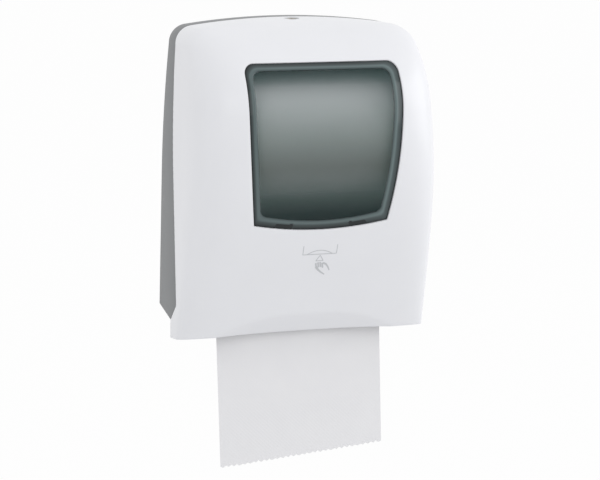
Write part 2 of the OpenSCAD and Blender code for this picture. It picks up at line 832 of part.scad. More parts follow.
module towel_roll() {
    color(paper) hung() difference() {
        rod(-half_towel, half_towel, roll_d, roll_z, roll_r);
        rod(-half_towel - 1, half_towel + 1, roll_d, roll_z, core_bore / 2 + core_wall + fit);
    }
}

module towel_web() {
    back = web_side(-sheet_t / 2);
    face = web_side(sheet_t / 2);
    last = len(face) - 1;
    color(paper) hung() slab(-half_towel, half_towel)
        polygon(concat(back, [for (i = [0 : last]) face[last - i]]));
}

tail_tuck = 3;
module towel_tail() {
    top = guide_z - tail_tuck;
    teeth = floor(towel_w / tooth_pitch);
    function edge(u) = [-half_towel + tail_drift + towel_w * u, -tail_left + (tail_left - tail_right) * u];
    saw = [for (i = [0 : 2 * teeth]) edge(i / (2 * teeth)) + [0, i % 2 == 0 ? 0 : tooth_depth]];
    color(paper) hung() panel(tail_d, tail_d + sheet_t)
        polygon(concat([[half_towel, 0], [half_towel, top], [-half_towel, top], [-half_towel, 0]], saw));
}

// Drum

module drum_shell() {
    color(dark_plastic) hung() difference() {
        rod(-half_towel, half_towel, drum_d, drum_z, drum_r);
        rod(-half_towel - 1, half_towel + 1, drum_d, drum_z, drum_r - drum_wall);
        in_drum(-half_towel + slot_end, half_towel - slot_end)
            translate([-slot_back, drum_r / 2]) square([slot_w, drum_r]);
    }
}

knob_gap = 1;
knob_len = 16;
knob_rim = 4;
groove_r = 4;
shaft_out = 15;
module drum_shaft() {
    color(steel) hung() rod(-plate_out - case_len - 1, plate_out + shaft_out, drum_d, drum_z, shaft_dia / 2);
}

module end_cap() {
    difference() {
        union() {
            rod(half_towel, cap_out, drum_d, drum_z, drum_r);
            rod(half_towel - cap_plug, half_towel, drum_d, drum_z, drum_r - drum_wall - fit);
        }
        rod(half_towel - cap_plug - 1, cap_out + 1, drum_d, drum_z, shaft_dia / 2 + fit / 2);
        in_drum(half_towel - cap_plug - 1, cap_out + 1) translate(knife_pivot) circle(pivot_dia / 2 + fit);
    }
}

module left_end_cap() { color(dark_plastic) hung() mirror([1, 0, 0]) end_cap(); }
module right_end_cap() { color(dark_plastic) hung() end_cap(); }

module feed_knob() {
    knob_in = plate_out + knob_gap;
    color(dark_plastic) hung() difference() {
        rod(knob_in, knob_in + knob_len, drum_d, drum_z, knob_dia / 2);
        rod(knob_in - 1, plate_out + shaft_out + seat, drum_d, drum_z, shaft_dia / 2 + fit / 2);
        for (i = [1 : knob_grooves]) {
            p = [drum_d, drum_z] + polar(knob_dia / 2 + groove_r / 2, 360 * i / knob_grooves);
            rod(knob_in + knob_rim, knob_in + knob_len + 1, p[0], p[1], groove_r);
        }
    }
}

// Knife

knife_half = half_towel - knife_end;
carrier_len = 22;
carrier_down = 2.5;
carrier_up = 1.5;
blade_t = 1;
blade_lap = 9;
eye_wall = 2;
pin_gap = 0.3;
module knife_pivot_rod() {
    color(steel) hung() in_drum(-lever_out, lever_out) translate(knife_pivot) circle(pivot_dia / 2);
}

module knife_carrier() {
    color(dark_plastic) hung() in_drum(-knife_half, knife_half) translate(knife_pivot) rotate(knife_rest)
        difference() {
            union() {
                circle(pivot_dia / 2 + eye_wall);
                translate([0, -carrier_down]) square([carrier_len, carrier_down + carrier_up]);
            }
            circle(pivot_dia / 2 + fit / 2);
        }
}

module knife_blade() {
    teeth = floor(2 * knife_half / tooth_pitch);
    root = carrier_len - blade_lap;
    saw = [for (i = [0 : 2 * teeth])
        [-knife_half + knife_half * i / teeth, knife_reach - (i % 2 == 0 ? tooth_depth : 0)]];
    at = drum_at(knife_pivot);
    color(steel) hung() translate([0, -at[0], at[1]]) rotate([270 - slot_rest - knife_rest, 0, 0])
        translate([0, 0, carrier_down]) linear_extrude(blade_t)
        polygon(concat([[knife_half, root], [-knife_half, root]], saw));
}

module follower_lever() {
    p = drum_at(knife_pivot);
    q = drum_at(follower_rest);
    difference() {
        lever(lever_in, lever_out, p, q, pivot_dia / 2 + eye_wall, follower_dia / 2 + eye_wall / 2);
        rod(lever_in - 1, lever_out + 1, p[0], p[1], pivot_dia / 2 + fit / 2);
    }
    rod(lever_out - lever_t / 6, plate_in - cam_floor - pin_gap, q[0], q[1], follower_pin_r);
}

module follower_levers() { color(steel) hung() both_sides() follower_lever(); }

module follower_rollers() {
    color(cover_white) hung() both_sides()
        in_drum(cam_in + seat, plate_in - cam_floor - 2 * seat) translate(follower_rest) difference() {
            circle(follower_dia / 2);
            circle(follower_pin_r + fit);
        }
}

// Pressure roller

module pressure_arm() {
    difference() {
        lever(arm_in, arm_out, [arm_rod_d, arm_rod_z], [roller_d, drum_z],
            arm_rod_dia / 2 + rod_boss, roller_shaft_dia / 2 + shaft_boss);
        rod(arm_in - 1, arm_out + 1, arm_rod_d, arm_rod_z, arm_rod_dia / 2 + fit);
        rod(arm_in - 1, arm_out + 1, roller_d, drum_z, roller_shaft_dia / 2 + fit);
    }
}

module left_pressure_arm() { color(dark_plastic) hung() mirror([1, 0, 0]) pressure_arm(); }
module right_pressure_arm() { color(dark_plastic) hung() pressure_arm(); }

module roller_shaft() {
    half = arm_out + shaft_end;
    color(steel) hung() rod(-half, half, roller_d, drum_z, roller_shaft_dia / 2);
}

module roller_sleeves() {
    count = 5;
    gap = 8;
    len = (2 * roller_half - gap * (count - 1)) / count;
    color("#5A5E62") hung() for (i = [0 : count - 1]) {
        x = -roller_half + i * (len + gap);
        difference() {
            rod(x, x + len, roller_d, drum_z, roller_dia / 2);
            rod(x - 1, x + len + 1, roller_d, drum_z, roller_shaft_dia / 2 + fit / 2);
        }
    }
}

// A round wire along a list of points: across, depth, height
module wire(path, r) {
    sides = 6;
    last = len(path) - 1;
    function ahead(i) = let (u = path[min(i + 1, last)] - path[max(i - 1, 0)]) u / norm(u);
    function ring(i) =
        let (t = ahead(i),
             s = cross(t, abs(t[0]) < 0.9 ? [1, 0, 0] : [0, 1, 0]),
             m = s / norm(s),
             n = cross(t, m))
        [for (k = [0 : sides - 1])
            let (p = path[i] + r * (m * cos(360 * k / sides) + n * sin(360 * k / sides)))
            [p[0], -p[1], p[2]]];
    points = [for (i = [0 : last]) each ring(i)];
    skin = [for (i = [0 : last - 1]) for (k = [0 : sides - 1])
        let (a = i * sides + k, b = i * sides + (k + 1) % sides)
        each [[a, b, b + sides], [a, b + sides, a + sides]]];
    polyhedron(points, concat(skin, [[for (k = [0 : sides - 1]) sides - 1 - k],
        [for (k = [0 : sides - 1]) last * sides + k]]));
}

rings_a_turn = 8;
spring_r = arm_rod_dia / 2 + 1 + wire_dia / 2;
spring_in = arm_in - 2 - spring_pitch * (spring_turns + 0.5);
spring_rings = round((spring_turns + 0.5) * rings_a_turn);
spring_coil = [for (i = [0 : spring_rings])
    let (p = [arm_rod_d, arm_rod_z] + polar(spring_r, 90 + 360 * i / rings_a_turn))
    [spring_in + spring_pitch * i / rings_a_turn, p[0], p[1]]];
spring_path = concat(
    [[spring_in, guide_d + guide_dia / 2 + 1.5 + wire_dia, arm_rod_z + spring_r - 1]],
    spring_coil,
    [spring_coil[spring_rings] + [0.4, 3, 0.5], spring_coil[spring_rings] + [0.8, 8, 1]]);
least_gap = min([for (i = [0 : spring_rings]) for (j = [i + rings_a_turn / 2 : spring_rings])
    norm(spring_coil[i] - spring_coil[j])]) - wire_dia;
echo("least gap between the turns of a torsion spring", least_gap);

module arm_springs() { color(steel) hung() both_sides() wire(spring_path, wire_dia / 2); }

back_housing();
left_side_plate();
right_side_plate();
left_bearing();
right_bearing();
rear_tie_bar();
guide_bar();
exit_guide();
left_cam();
right_cam();
spring_case();
return_spring();
pressure_pivot_rod();
left_roll_arm();
left_roll_hub();
arm_bracket();
arm_pivot_pin();
chassis_screws();
hinge_pins();
lock_keeper();
towel_web();
front_cover();
window_pane();
hinge_straps();
lock_body();
lock_plug();
lock_cam();
drum_shell();
drum_shaft();
left_end_cap();
right_end_cap();
feed_knob();
knife_pivot_rod();
knife_carrier();
knife_blade();
follower_levers();
follower_rollers();
towel_roll();
roll_core();
right_roll_arm();
right_roll_hub();
left_pressure_arm();
right_pressure_arm();
arm_springs();
roller_shaft();
roller_sleeves();
towel_tail();
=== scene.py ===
"""Looks of a wall-hung roll towel dispenser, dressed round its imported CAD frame.

Row frame, in metres: X to the right, Y into the wall, Z up, with the wall at y = 0. The casing's own
formulas use a depth out from the wall and a height above the cover's lower edge.
"""

import json
import logging
import math
from dataclasses import dataclass
from enum import Enum
from typing import Callable, List, Optional, Sequence, Tuple

import bmesh
import bpy
from bmesh.types import BMEdge, BMesh, BMFace, BMVert
from bpy.types import Material, Mesh, Node, NodeSocket, NodeTree, Object
from mathutils import Matrix, Vector

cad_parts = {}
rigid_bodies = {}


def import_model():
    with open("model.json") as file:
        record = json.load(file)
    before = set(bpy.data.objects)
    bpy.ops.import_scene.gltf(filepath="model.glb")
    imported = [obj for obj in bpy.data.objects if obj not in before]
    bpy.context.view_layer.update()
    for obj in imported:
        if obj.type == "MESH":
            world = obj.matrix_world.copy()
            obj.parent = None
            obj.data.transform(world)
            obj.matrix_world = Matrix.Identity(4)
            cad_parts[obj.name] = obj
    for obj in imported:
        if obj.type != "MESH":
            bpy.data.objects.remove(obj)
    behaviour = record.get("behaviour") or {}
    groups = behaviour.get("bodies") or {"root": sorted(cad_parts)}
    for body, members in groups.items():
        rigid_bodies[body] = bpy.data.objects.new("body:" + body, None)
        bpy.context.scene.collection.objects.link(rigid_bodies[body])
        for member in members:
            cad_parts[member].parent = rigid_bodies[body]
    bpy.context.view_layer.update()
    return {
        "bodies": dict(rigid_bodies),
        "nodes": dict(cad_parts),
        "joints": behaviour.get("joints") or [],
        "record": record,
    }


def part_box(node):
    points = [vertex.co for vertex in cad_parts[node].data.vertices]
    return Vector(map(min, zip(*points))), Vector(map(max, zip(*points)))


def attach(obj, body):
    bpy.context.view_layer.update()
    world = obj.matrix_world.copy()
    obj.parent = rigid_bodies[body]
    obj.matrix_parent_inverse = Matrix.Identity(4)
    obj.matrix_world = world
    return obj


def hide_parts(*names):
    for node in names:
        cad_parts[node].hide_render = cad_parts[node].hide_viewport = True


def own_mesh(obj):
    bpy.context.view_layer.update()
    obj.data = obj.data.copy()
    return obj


LOG = logging.getLogger("dispenser")
MM = 0.001
WELD = 1e-6
ACRYLIC_IOR = 1.49
# Mesh attribute that holds the rim's painted light: painted shade at 0, painted highlight at 1.
RIM_PAINTED_LIGHT = "rim_painted_light"
Pair = Tuple[float, float]
Triple = Tuple[float, float, float]
Hole = Tuple[Vector, Vector, float, float]


class Side(Enum):
    """The two sides of the dispenser, as the sign of x."""

    LEFT = -1
    RIGHT = 1


def linear(code: str) -> Tuple[float, float, float, float]:
    """Turns an sRGB hex colour into linear values.

    Args:
        code: A colour such as "#E4E6EA".

    Returns:
        Red, green, blue and alpha, linear.
    """
    parts = [int(code[i:i + 2], 16) / 255 for i in (1, 3, 5)]
    red, green, blue = (c / 12.92 if c <= 0.04045 else ((c + 0.055) / 1.055) ** 2.4 for c in parts)
    return red, green, blue, 1.0


def put(tree: NodeTree, kind: str, settings: Optional[dict] = None, inputs: Optional[dict] = None,
        links: Optional[dict] = None) -> Node:
    """Adds a node to a tree, sets it up and links it.

    Args:
        tree: The node tree.
        kind: The node's type name.
        settings: Attributes of the node by name.
        inputs: Socket values by socket name or index.
        links: Source sockets by the name or index of the socket that they feed.

    Returns:
        The new node.
    """
    node = tree.nodes.new(kind)
    for name, value in (settings or {}).items():
        setattr(node, name, value)
    for name, value in (inputs or {}).items():
        node.inputs[name].default_value = value
    for name, source in (links or {}).items():
        tree.links.new(source, node.inputs[name])
    return node


class Recipe:
    """A node material in the making, with the few steps that the finishes share."""

    def __init__(self, name: str) -> None:
        """Starts an empty material on object coordinates."""
        self.material = bpy.data.materials.new(name)
        self.material.use_nodes = True
        self.tree = self.material.node_tree
        self.tree.nodes.clear()
        self.place = put(self.tree, "ShaderNodeTexCoord").outputs["Object"]

    def noise(self, size: float, detail: float, place: Optional[NodeSocket] = None) -> NodeSocket:
        """Adds clouds of a size, with finer layers, on the object's coordinates or on those given."""
        return put(self.tree, "ShaderNodeTexNoise", inputs={"Scale": 1 / size, "Detail": detail},
                   links={"Vector": self.place if place is None else place}).outputs["Fac"]

    def tint(self, light: str, dark: str, share: NodeSocket) -> NodeSocket:
        """Adds a mix of two colours by a value."""
        return put(self.tree, "ShaderNodeMix", {"data_type": "RGBA"},
                   {6: linear(dark), 7: linear(light)}, {0: share}).outputs[2]

    def blend(self, share: float, first: NodeSocket, second: NodeSocket) -> NodeSocket:
        """Adds a mix of two values at a fixed share of the second."""
        return put(self.tree, "ShaderNodeMix", {"data_type": "FLOAT"}, {0: share},
                   {2: first, 3: second}).outputs[0]

    def gloss(self, roughness: float, spread: Pair, value: NodeSocket) -> NodeSocket:
        """Adds a roughness that a value moves between two shares of it."""
        return put(self.tree, "ShaderNodeMapRange",
                   inputs={"To Min": roughness * spread[0], "To Max": roughness * spread[1]},
                   links={"Value": value}).outputs[0]

    def bump(self, height: NodeSocket, strength: float, depth: float,
             over: Optional[NodeSocket] = None) -> NodeSocket:
        """Adds a bump from a value, over another bump where one is given."""
        links = {"Height": height} if over is None else {"Height": height, "Normal": over}
        return put(self.tree, "ShaderNodeBump", inputs={"Strength": strength, "Distance": depth},
                   links=links).outputs[0]

    def close(self, shader: Node) -> Material:
        """Links a shader to the output and gives the finished material."""
        put(self.tree, "ShaderNodeOutputMaterial", links={"Surface": shader.outputs[0]})
        return self.material

    def shade(self, inputs: dict, links: dict) -> Material:
        """Closes the material with a principled shader."""
        return self.close(put(self.tree, "ShaderNodeBsdfPrincipled", inputs=inputs, links=links))


@dataclass(frozen=True)
class MouldedPlastic:
    """Injection moulded ABS: an even colour, a soft gloss broken by the mould's fine spark grain.

    The grain is drawn as coarse as it needs to show at this size.
    """

    name: str
    light: str
    dark: str
    roughness: float
    grain: float
    grain_height: float
    ior: float = 1.53
    cloud: float = 60 * MM
    spread: Pair = (0.85, 1.15)
    strength: float = 0.35

    def make(self) -> Material:
        """Builds the material."""
        recipe = Recipe(self.name)
        cloud, grain = recipe.noise(self.cloud, 3.0), recipe.noise(self.grain, 2.0)
        return recipe.shade({"IOR": self.ior}, {
            "Base Color": recipe.tint(self.light, self.dark, cloud),
            "Roughness": recipe.gloss(self.roughness, self.spread, grain),
            "Normal": recipe.bump(grain, self.strength, self.grain_height)})


@dataclass(frozen=True)
class SmokedAcrylic:
    """Smoked clear acrylic: a green-grey tint that lets the roll show, under a hard moulded gloss.

    The tint deepens downwards and under the top edge, as painted shade for the roll lit from above and
    for the shadow of the cover's top edge on it. Each stop gives a share of the height, a colour and how much
    it hides.
    """

    name: str
    stops: Tuple[Tuple[float, str, float], ...]
    roughness: float
    low_z: float = -0.095
    top_z: float = 0.085
    cloud: float = 45 * MM
    spread: Pair = (0.8, 1.3)
    specular: float = 0.25

    def make(self) -> Material:
        """Builds the material."""
        recipe = Recipe(self.name)
        height = put(recipe.tree, "ShaderNodeSeparateXYZ", links={0: recipe.place})
        share = put(recipe.tree, "ShaderNodeMapRange", links={"Value": height.outputs["Z"]},
                    inputs={"From Min": self.low_z, "From Max": self.top_z})
        # The ramp is the pane's own smoked tint with painted shade: darker towards the bottom and under the
        # top edge.
        tint = put(recipe.tree, "ShaderNodeValToRGB", links={0: share.outputs[0]})
        elements = tint.color_ramp.elements
        elements.remove(elements[1])
        for i, (at, colour, hiding) in enumerate(self.stops):
            element = elements.new(at) if i else elements[0]
            element.position, element.color = at, (*linear(colour)[:3], hiding)
        return recipe.shade({"IOR": ACRYLIC_IOR, "Specular IOR Level": self.specular}, {
            "Base Color": tint.outputs["Color"], "Alpha": tint.outputs["Alpha"],
            "Roughness": recipe.gloss(self.roughness, self.spread, recipe.noise(self.cloud, 2.0))})


@dataclass(frozen=True)
class SmokedRim:
    """The bevelled rim of smoked acrylic: painted shade makes it nearly black at its edge, a painted
    highlight makes its crest paler.

    The mesh carries how much painted light each line of the rim has, from painted shade at 0 to a painted
    highlight at 1.
    """

    name: str
    light: str
    dark: str
    roughness: float
    cloud: float = 20 * MM
    spread: Pair = (0.8, 1.3)
    specular: float = 0.35

    def make(self) -> Material:
        """Builds the material."""
        recipe = Recipe(self.name)
        tone = put(recipe.tree, "ShaderNodeAttribute", {"attribute_name": RIM_PAINTED_LIGHT})
        return recipe.shade({"IOR": ACRYLIC_IOR, "Specular IOR Level": self.specular}, {
            "Base Color": recipe.tint(self.light, self.dark, tone.outputs["Fac"]),
            "Roughness": recipe.gloss(self.roughness, self.spread, recipe.noise(self.cloud, 2.0))})


@dataclass(frozen=True)
class EmbossedTissue:
    """Soft crepe tissue: matt, off-white fibres with a grid of pressed dimples.

    The dimples are 3.2 mm apart, as on common roll towel.
    """

    name: str
    light: str
    dark: str
    dimple: float = 3.2 * MM
    dimple_depth: float = 0.35 * MM
    fibre: float = 0.9 * MM
    fibre_depth: float = 0.12 * MM
    cloud: float = 35 * MM

    def make(self) -> Material:
        """Builds the material."""
        recipe = Recipe(self.name)
        fibre, cloud = recipe.noise(self.fibre, 5.0), recipe.noise(self.cloud, 3.0)
        turned = put(recipe.tree, "ShaderNodeMapping", inputs={"Rotation": (0.0, math.radians(45), 0.0)},
                     links={"Vector": recipe.place})
        dimple = put(recipe.tree, "ShaderNodeTexVoronoi", links={"Vector": turned.outputs[0]},
                     inputs={"Scale": 1 / self.dimple, "Randomness": 0.0})
        press = recipe.bump(dimple.outputs["Distance"], 0.3, self.dimple_depth)
        return recipe.shade({"Roughness": 0.92, "IOR": 1.45, "Sheen Weight": 0.15, "Sheen Roughness": 0.6}, {
            "Base Color": recipe.tint(self.light, self.dark, recipe.blend(0.4, cloud, fibre)),
            "Normal": recipe.bump(fibre, 0.35, self.fibre_depth, press)})


@dataclass(frozen=True)
class WorkedMetal:
    """Plated, turned or cast metal: bright, with fine drawn streaks along its working direction."""

    name: str
    light: str
    dark: str
    roughness: float
    streak_mm: Triple
    spread: Pair = (0.7, 1.3)
    streak_depth: float = 0.05 * MM

    def make(self) -> Material:
        """Builds the material."""
        recipe = Recipe(self.name)
        streaks = put(recipe.tree, "ShaderNodeMapping", links={"Vector": recipe.place},
                      inputs={"Scale": tuple(1 / (size * MM) for size in self.streak_mm)})
        drawn = recipe.noise(1.0, 4.0, streaks.outputs[0])
        return recipe.shade({"Metallic": 1.0}, {
            "Base Color": recipe.tint(self.light, self.dark, drawn),
            "Roughness": recipe.gloss(self.roughness, self.spread, drawn),
            "Normal": recipe.bump(drawn, 0.2, self.streak_depth)})


@dataclass(frozen=True)
class WoundCard:
    """Grey-brown core board wound in a spiral: flat fibres and a darker seam between its turns."""

    name: str
    light: str
    dark: str
    turn: float = 45 * MM
    wave_bands: float = 3.2
    fibre: float = 1.2 * MM
    fibre_depth: float = 0.15 * MM

    def make(self) -> Material:
        """Builds the material."""
        recipe = Recipe(self.name)
        seam = put(recipe.tree, "ShaderNodeTexWave", {"wave_type": "BANDS", "bands_direction": "DIAGONAL"},
                   {"Scale": 1 / (self.turn * self.wave_bands), "Distortion": 0.6}, {"Vector": recipe.place})
        fibre = recipe.noise(self.fibre, 6.0)
        return recipe.shade({"Roughness": 0.88}, {
            "Base Color": recipe.tint(self.light, self.dark, recipe.blend(0.6, seam.outputs["Fac"], fibre)),
            "Normal": recipe.bump(fibre, 0.4, self.fibre_depth)})


class Finishes:
    """The finishes of the dispenser, one material for each slot of the record and a few of the scene."""

    def __init__(self) -> None:
        """Makes every material once."""
        plastic, metal = MouldedPlastic, WorkedMetal
        self.white_abs = plastic("white_gloss_abs", "#EAEBEF", "#E6E7EB", 0.32, 2.4 * MM, 0.02 * MM).make()
        self.grey_abs = plastic("grey_satin_abs", "#7F8183", "#787A7C", 0.52, 0.9 * MM, 0.06 * MM).make()
        self.black_abs = plastic("black_satin_acetal", "#2F3235", "#26292C", 0.42, 0.8 * MM, 0.05 * MM).make()
        self.rubber = plastic("grey_nitrile_rubber", "#55595D", "#4B4F53", 0.75, 0.6 * MM, 0.08 * MM,
                              1.52).make()
        self.print_grey = plastic("pad_print_ink", "#C8CACE", "#C0C2C6", 0.45, 0.8 * MM, 0.02 * MM).make()
        # The pane's stops are its smoked tint with painted shade: darker towards the bottom and under the top
        # edge.
        self.smoked_pane = SmokedAcrylic("smoked_acrylic", (
            (0.06, "#1C3231", 0.55), (0.21, "#4A605C", 0.36), (0.36, "#344A42", 0.38),
            (0.55, "#385C52", 0.295), (0.86, "#486E6C", 0.155), (0.955, "#2C403F", 0.40)), 0.09).make()
        # The bead's two colours are painted light: the dark one for painted shade, the pale one for the
        # crest's painted highlight.
        self.smoked_rim = SmokedRim("smoked_acrylic_bead_painted_light", "#69797A", "#151B1D", 0.12).make()
        # The edge is all painted shade: the shadow of the gap round the window opening.
        self.smoked_edge = SmokedRim("smoked_acrylic_edge_painted_shade", "#1B2224", "#151B1D", 0.22).make()
        self.paper = EmbossedTissue("embossed_tissue", "#E9E9EB", "#E1E1E4").make()
        self.card = WoundCard("wound_core_board", "#B29A7A", "#8F7757").make()
        self.steel = metal("zinc_plated_steel", "#C3C7CA", "#A9AEB2", 0.34, (18.0, 1.0, 1.0)).make()
        self.zinc = metal("die_cast_zinc", "#B9BCBF", "#A6A9AD", 0.40, (1.6, 1.6, 1.6)).make()
        self.brass = metal("turned_brass", "#C8A964", "#B08F4B", 0.28, (6.0, 0.8, 0.8)).make()

    def of_slot(self, slot: str) -> Material:
        """The material of a slot of the record."""
        return getattr(self, slot)


def bisect(holds: Callable[[float], bool], high: float, rounds: int = 40) -> float:
    """Finds how far a test holds.

    Args:
        holds: The test, which holds from 0 up to the value sought.
        high: A value at which it no longer holds.
        rounds: How often the range is halved.

    Returns:
        The last value at which it was found to hold.
    """
    low = 0.0
    for _ in range(rounds):
        middle = (low + high) / 2
        if holds(middle):
            low = middle
        else:
            high = middle
    return low


def evenly(line: Sequence[Pair], count: int, bend: float = 0.0) -> List[Pair]:
    """Points at even steps along a line of points, closer where it bends.

    Args:
        line: The points of the line.
        count: How many steps.
        bend: Length that a turn of one radian counts for.

    Returns:
        count + 1 points, with both ends.
    """
    run, heading = [0.0], None
    for a, b in zip(line, line[1:]):
        ahead = math.atan2(b[1] - a[1], b[0] - a[0])
        turn = 0.0 if heading is None else abs(math.remainder(ahead - heading, 2 * math.pi))
        run.append(run[-1] + math.dist(a, b) + bend * turn)
        heading = ahead
    points, k = [], 0
    for i in range(count + 1):
        goal = run[-1] * i / count
        while k < len(line) - 2 and run[k + 1] < goal:
            k += 1
        share = (goal - run[k]) / max(run[k + 1] - run[k], 1e-12)
        points.append(tuple(a + (b - a) * min(1.0, share) for a, b in zip(line[k], line[k + 1])))
    return points


@dataclass(frozen=True)
class Casing:
    """The outer form that housing, cover and pane share: depth out from the wall over width and height."""

    lowest: float
    half_bottom: float
    height: float
    front_depth: float
    lip_depth: float = 97.4 * MM
    side_lean: float = 0.029
    shoulder: float = 8.5 * MM
    corner_r: float = 22 * MM
    crown: float = 8 * MM
    belly: float = 262 * MM
    chin_pull: float = 110 * MM
    chin_slope: float = 0.5
    belly_pull: float = 87 * MM
    plan_power: float = 5.2
    low_power: float = 8.0
    straight: float = 40 * MM
    low_straight: float = 60 * MM
    straight_most: float = 0.72
    wall: float = 3 * MM
    seam_top: float = 28 * MM
    seam_low: float = 83 * MM
    seam_low_z: float = 38 * MM
    back_low: float = 24 * MM
    tip_depth: float = 57 * MM
    tip_z: float = 16 * MM
    pane_set: float = 0.8 * MM
    seam_gap: float = 0.5 * MM
    seam_least: float = 0.05 * MM
    scoop_half: float = 107 * MM
    scoop_rise: float = 24.5 * MM
    scoop_tilt: float = 0.45
    scoop_power: float = 2.8
    scoop_soft: float = 1.2 * MM
    corner_bend: float = 45 * MM
    heel_drop: float = 5 * MM
    heel_z: float = 14 * MM
    line_steps: int = 200

    @classmethod
    def from_frame(cls) -> "Casing":
        """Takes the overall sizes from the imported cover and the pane, which holds the fullest place."""
        low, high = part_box("front_cover")
        pane_front = -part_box("window_pane")[0][1]
        return cls(lowest=low[2], half_bottom=high[0], height=high[2] - low[2],
                   front_depth=pane_front + cls.pane_set)

    @property
    def corner_end(self) -> float:
        """Angle at which an upper corner's arc meets the crown."""
        run = self.half_bottom - self.side_lean * self.height - self.shoulder - self.corner_r
        return math.pi / 2 - math.atan(2 * self.crown / run)

    @property
    def corner_z(self) -> float:
        """Height of the centre of an upper corner."""
        return self.height - self.crown - self.corner_r * math.sin(self.corner_end)

    @property
    def corner_x(self) -> float:
        """Place across of the centre of an upper corner."""
        return self.side_half(self.corner_z) - self.corner_r

    @property
    def crown_half(self) -> float:
        """Half width of the crowned top between its corners."""
        return self.corner_x + self.corner_r * math.cos(self.corner_end)

    def side_half(self, z: float) -> float:
        """Half width between the leaning sides at a height."""
        drawn_in = max(0.0, 2 * z / self.height - 1) ** 2
        return self.half_bottom - self.side_lean * z - self.shoulder * drawn_in

    def outline_half(self, z: float) -> float:
        """Half width of the front outline at a height, with round corners and a crowned top."""
        above = z - self.corner_z
        if above <= 0:
            return self.side_half(z)
        if z <= self.height - self.crown:
            return self.corner_x + math.sqrt(max(0.0, self.corner_r ** 2 - above ** 2))
        return self.crown_half * math.sqrt(max(0.0, self.height - z) / self.crown)

    def chin(self, t: float) -> Pair:
        """Depth and height of the middle line from the lip to the belly, for t from 0 to 1."""
        a, b = (1 - t) ** 3, 3 * (1 - t) ** 2 * t
        c, d = 3 * (1 - t) * t * t, t ** 3
        swell = self.lip_depth + self.chin_pull * self.chin_slope
        depth = a * self.lip_depth + b * swell + (c + d) * self.front_depth
        return depth, b * self.chin_pull + c * (self.belly - self.belly_pull) + d * self.belly

    def front_at(self, z: float) -> float:
        """Depth of the middle line at a height."""
        if z >= self.belly:
            rise = min(1.0, (z - self.belly) / (self.height - self.belly))
            return self.seam_top + (self.front_depth - self.seam_top) * math.sqrt(1 - rise ** 2)
        return self.chin(bisect(lambda t: self.chin(t)[1] < z, 1.0))[0]

    def seam_at(self, z: float) -> float:
        """Depth of the seam between housing and cover at a height."""
        if z <= self.tip_z:
            return self.tip_depth
        if z <= self.seam_low_z:
            share = (z - self.tip_z) / (self.seam_low_z - self.tip_z)
            return self.tip_depth + (self.seam_low - self.tip_depth) * share
        share = (z - self.seam_low_z) / (self.height - self.seam_low_z)
        return self.seam_low + (self.seam_top - self.seam_low) * share

    def scoop(self, x: float, z: float) -> float:
        """How far the finger scoop above the lip is set back at a place."""
        below = self.scoop_rise * (1 - abs(x / self.scoop_half) ** self.scoop_power) - z
        return self.scoop_tilt * (below + math.hypot(below, self.scoop_soft)) / 2

    def heel(self, x: float, depth: float, z: float) -> float:
        """How far the lower edge of a side runs down towards the wall at a place."""
        rear = (self.lip_depth - depth - self.scoop(x, z)) / (self.lip_depth - self.tip_depth)
        return self.heel_drop * min(1.0, max(0.0, rear)) * max(0.0, 1 - z / self.heel_z)

    def plan(self, z: float) -> Triple:
        """Front depth, straight depth and squareness of the plan section at a height."""
        front = self.front_at(z)
        below = 1 - min(1.0, max(0.0, z / self.belly))
        straight = self.straight + (self.low_straight - self.straight) * below
        power = self.plan_power + (self.low_power - self.plan_power) * below
        return front, min(straight, self.straight_most * front), power

    def face_depth(self, x: float, z: float) -> float:
        """Depth of the cover's face at a place seen from the front."""
        front, straight, power = self.plan(z)
        share = min(1.0, abs(x) / self.outline_half(z))
        swell = (1 - share ** power) ** (1 / power)
        return straight + (front - straight) * swell - self.scoop(x, z)

    def at(self, x: float, depth: float, z: float) -> Vector:
        """A point of the row frame from across, depth and height."""
        return Vector((x, -depth, z + self.lowest))

    def on_face(self, x: float, z: float, proud: float = 0.0) -> Vector:
        """A point on the cover's face, or proud of it."""
        return self.at(x, self.face_depth(x, z) + proud, z)

    def rows(self, count: int) -> List[float]:
        """The count + 1 heights at even steps along the middle line from the lip to the top."""
        line = [self.chin(i / self.line_steps) for i in range(self.line_steps + 1)]
        arc = 2 * self.line_steps
        for i in range(1, arc + 1):
            angle = math.pi / 2 * i / arc
            line.append((self.seam_top + (self.front_depth - self.seam_top) * math.cos(angle),
                         self.belly + (self.height - self.belly) * math.sin(angle)))
        shown = [p for p in line if p[0] >= self.seam_at(p[1]) + self.seam_gap]
        return [p[1] for p in evenly(shown, count)]

    def half_row(self, z: float, count: int, steps: int = 240) -> List[Pair]:
        """Across and depth at even steps along one plan section, from the seam to the middle.

        Args:
            z: Height of the section.
            count: How many steps.
            steps: How finely the section is drawn before it is stepped.

        Returns:
            count + 1 pairs of x and depth on the right-hand side.
        """
        half = self.outline_half(z)
        front, straight, power = self.plan(z)
        rear = min(self.seam_at(z) + self.seam_gap, front - self.seam_least)
        line: List[Pair] = [(half, rear)] if rear < straight else []
        for i in range(steps + 1):
            angle = math.pi / 2 * i / steps
            c, s = math.cos(angle), math.sin(angle)
            reach = (c ** power + s ** power) ** (-1 / power)
            point = (half * reach * c, straight + (front - straight) * reach * s)
            if point[1] >= rear:
                line.append(point)
        return [(x, depth - self.scoop(x, z)) for x, depth in evenly(line, count, self.corner_bend)]


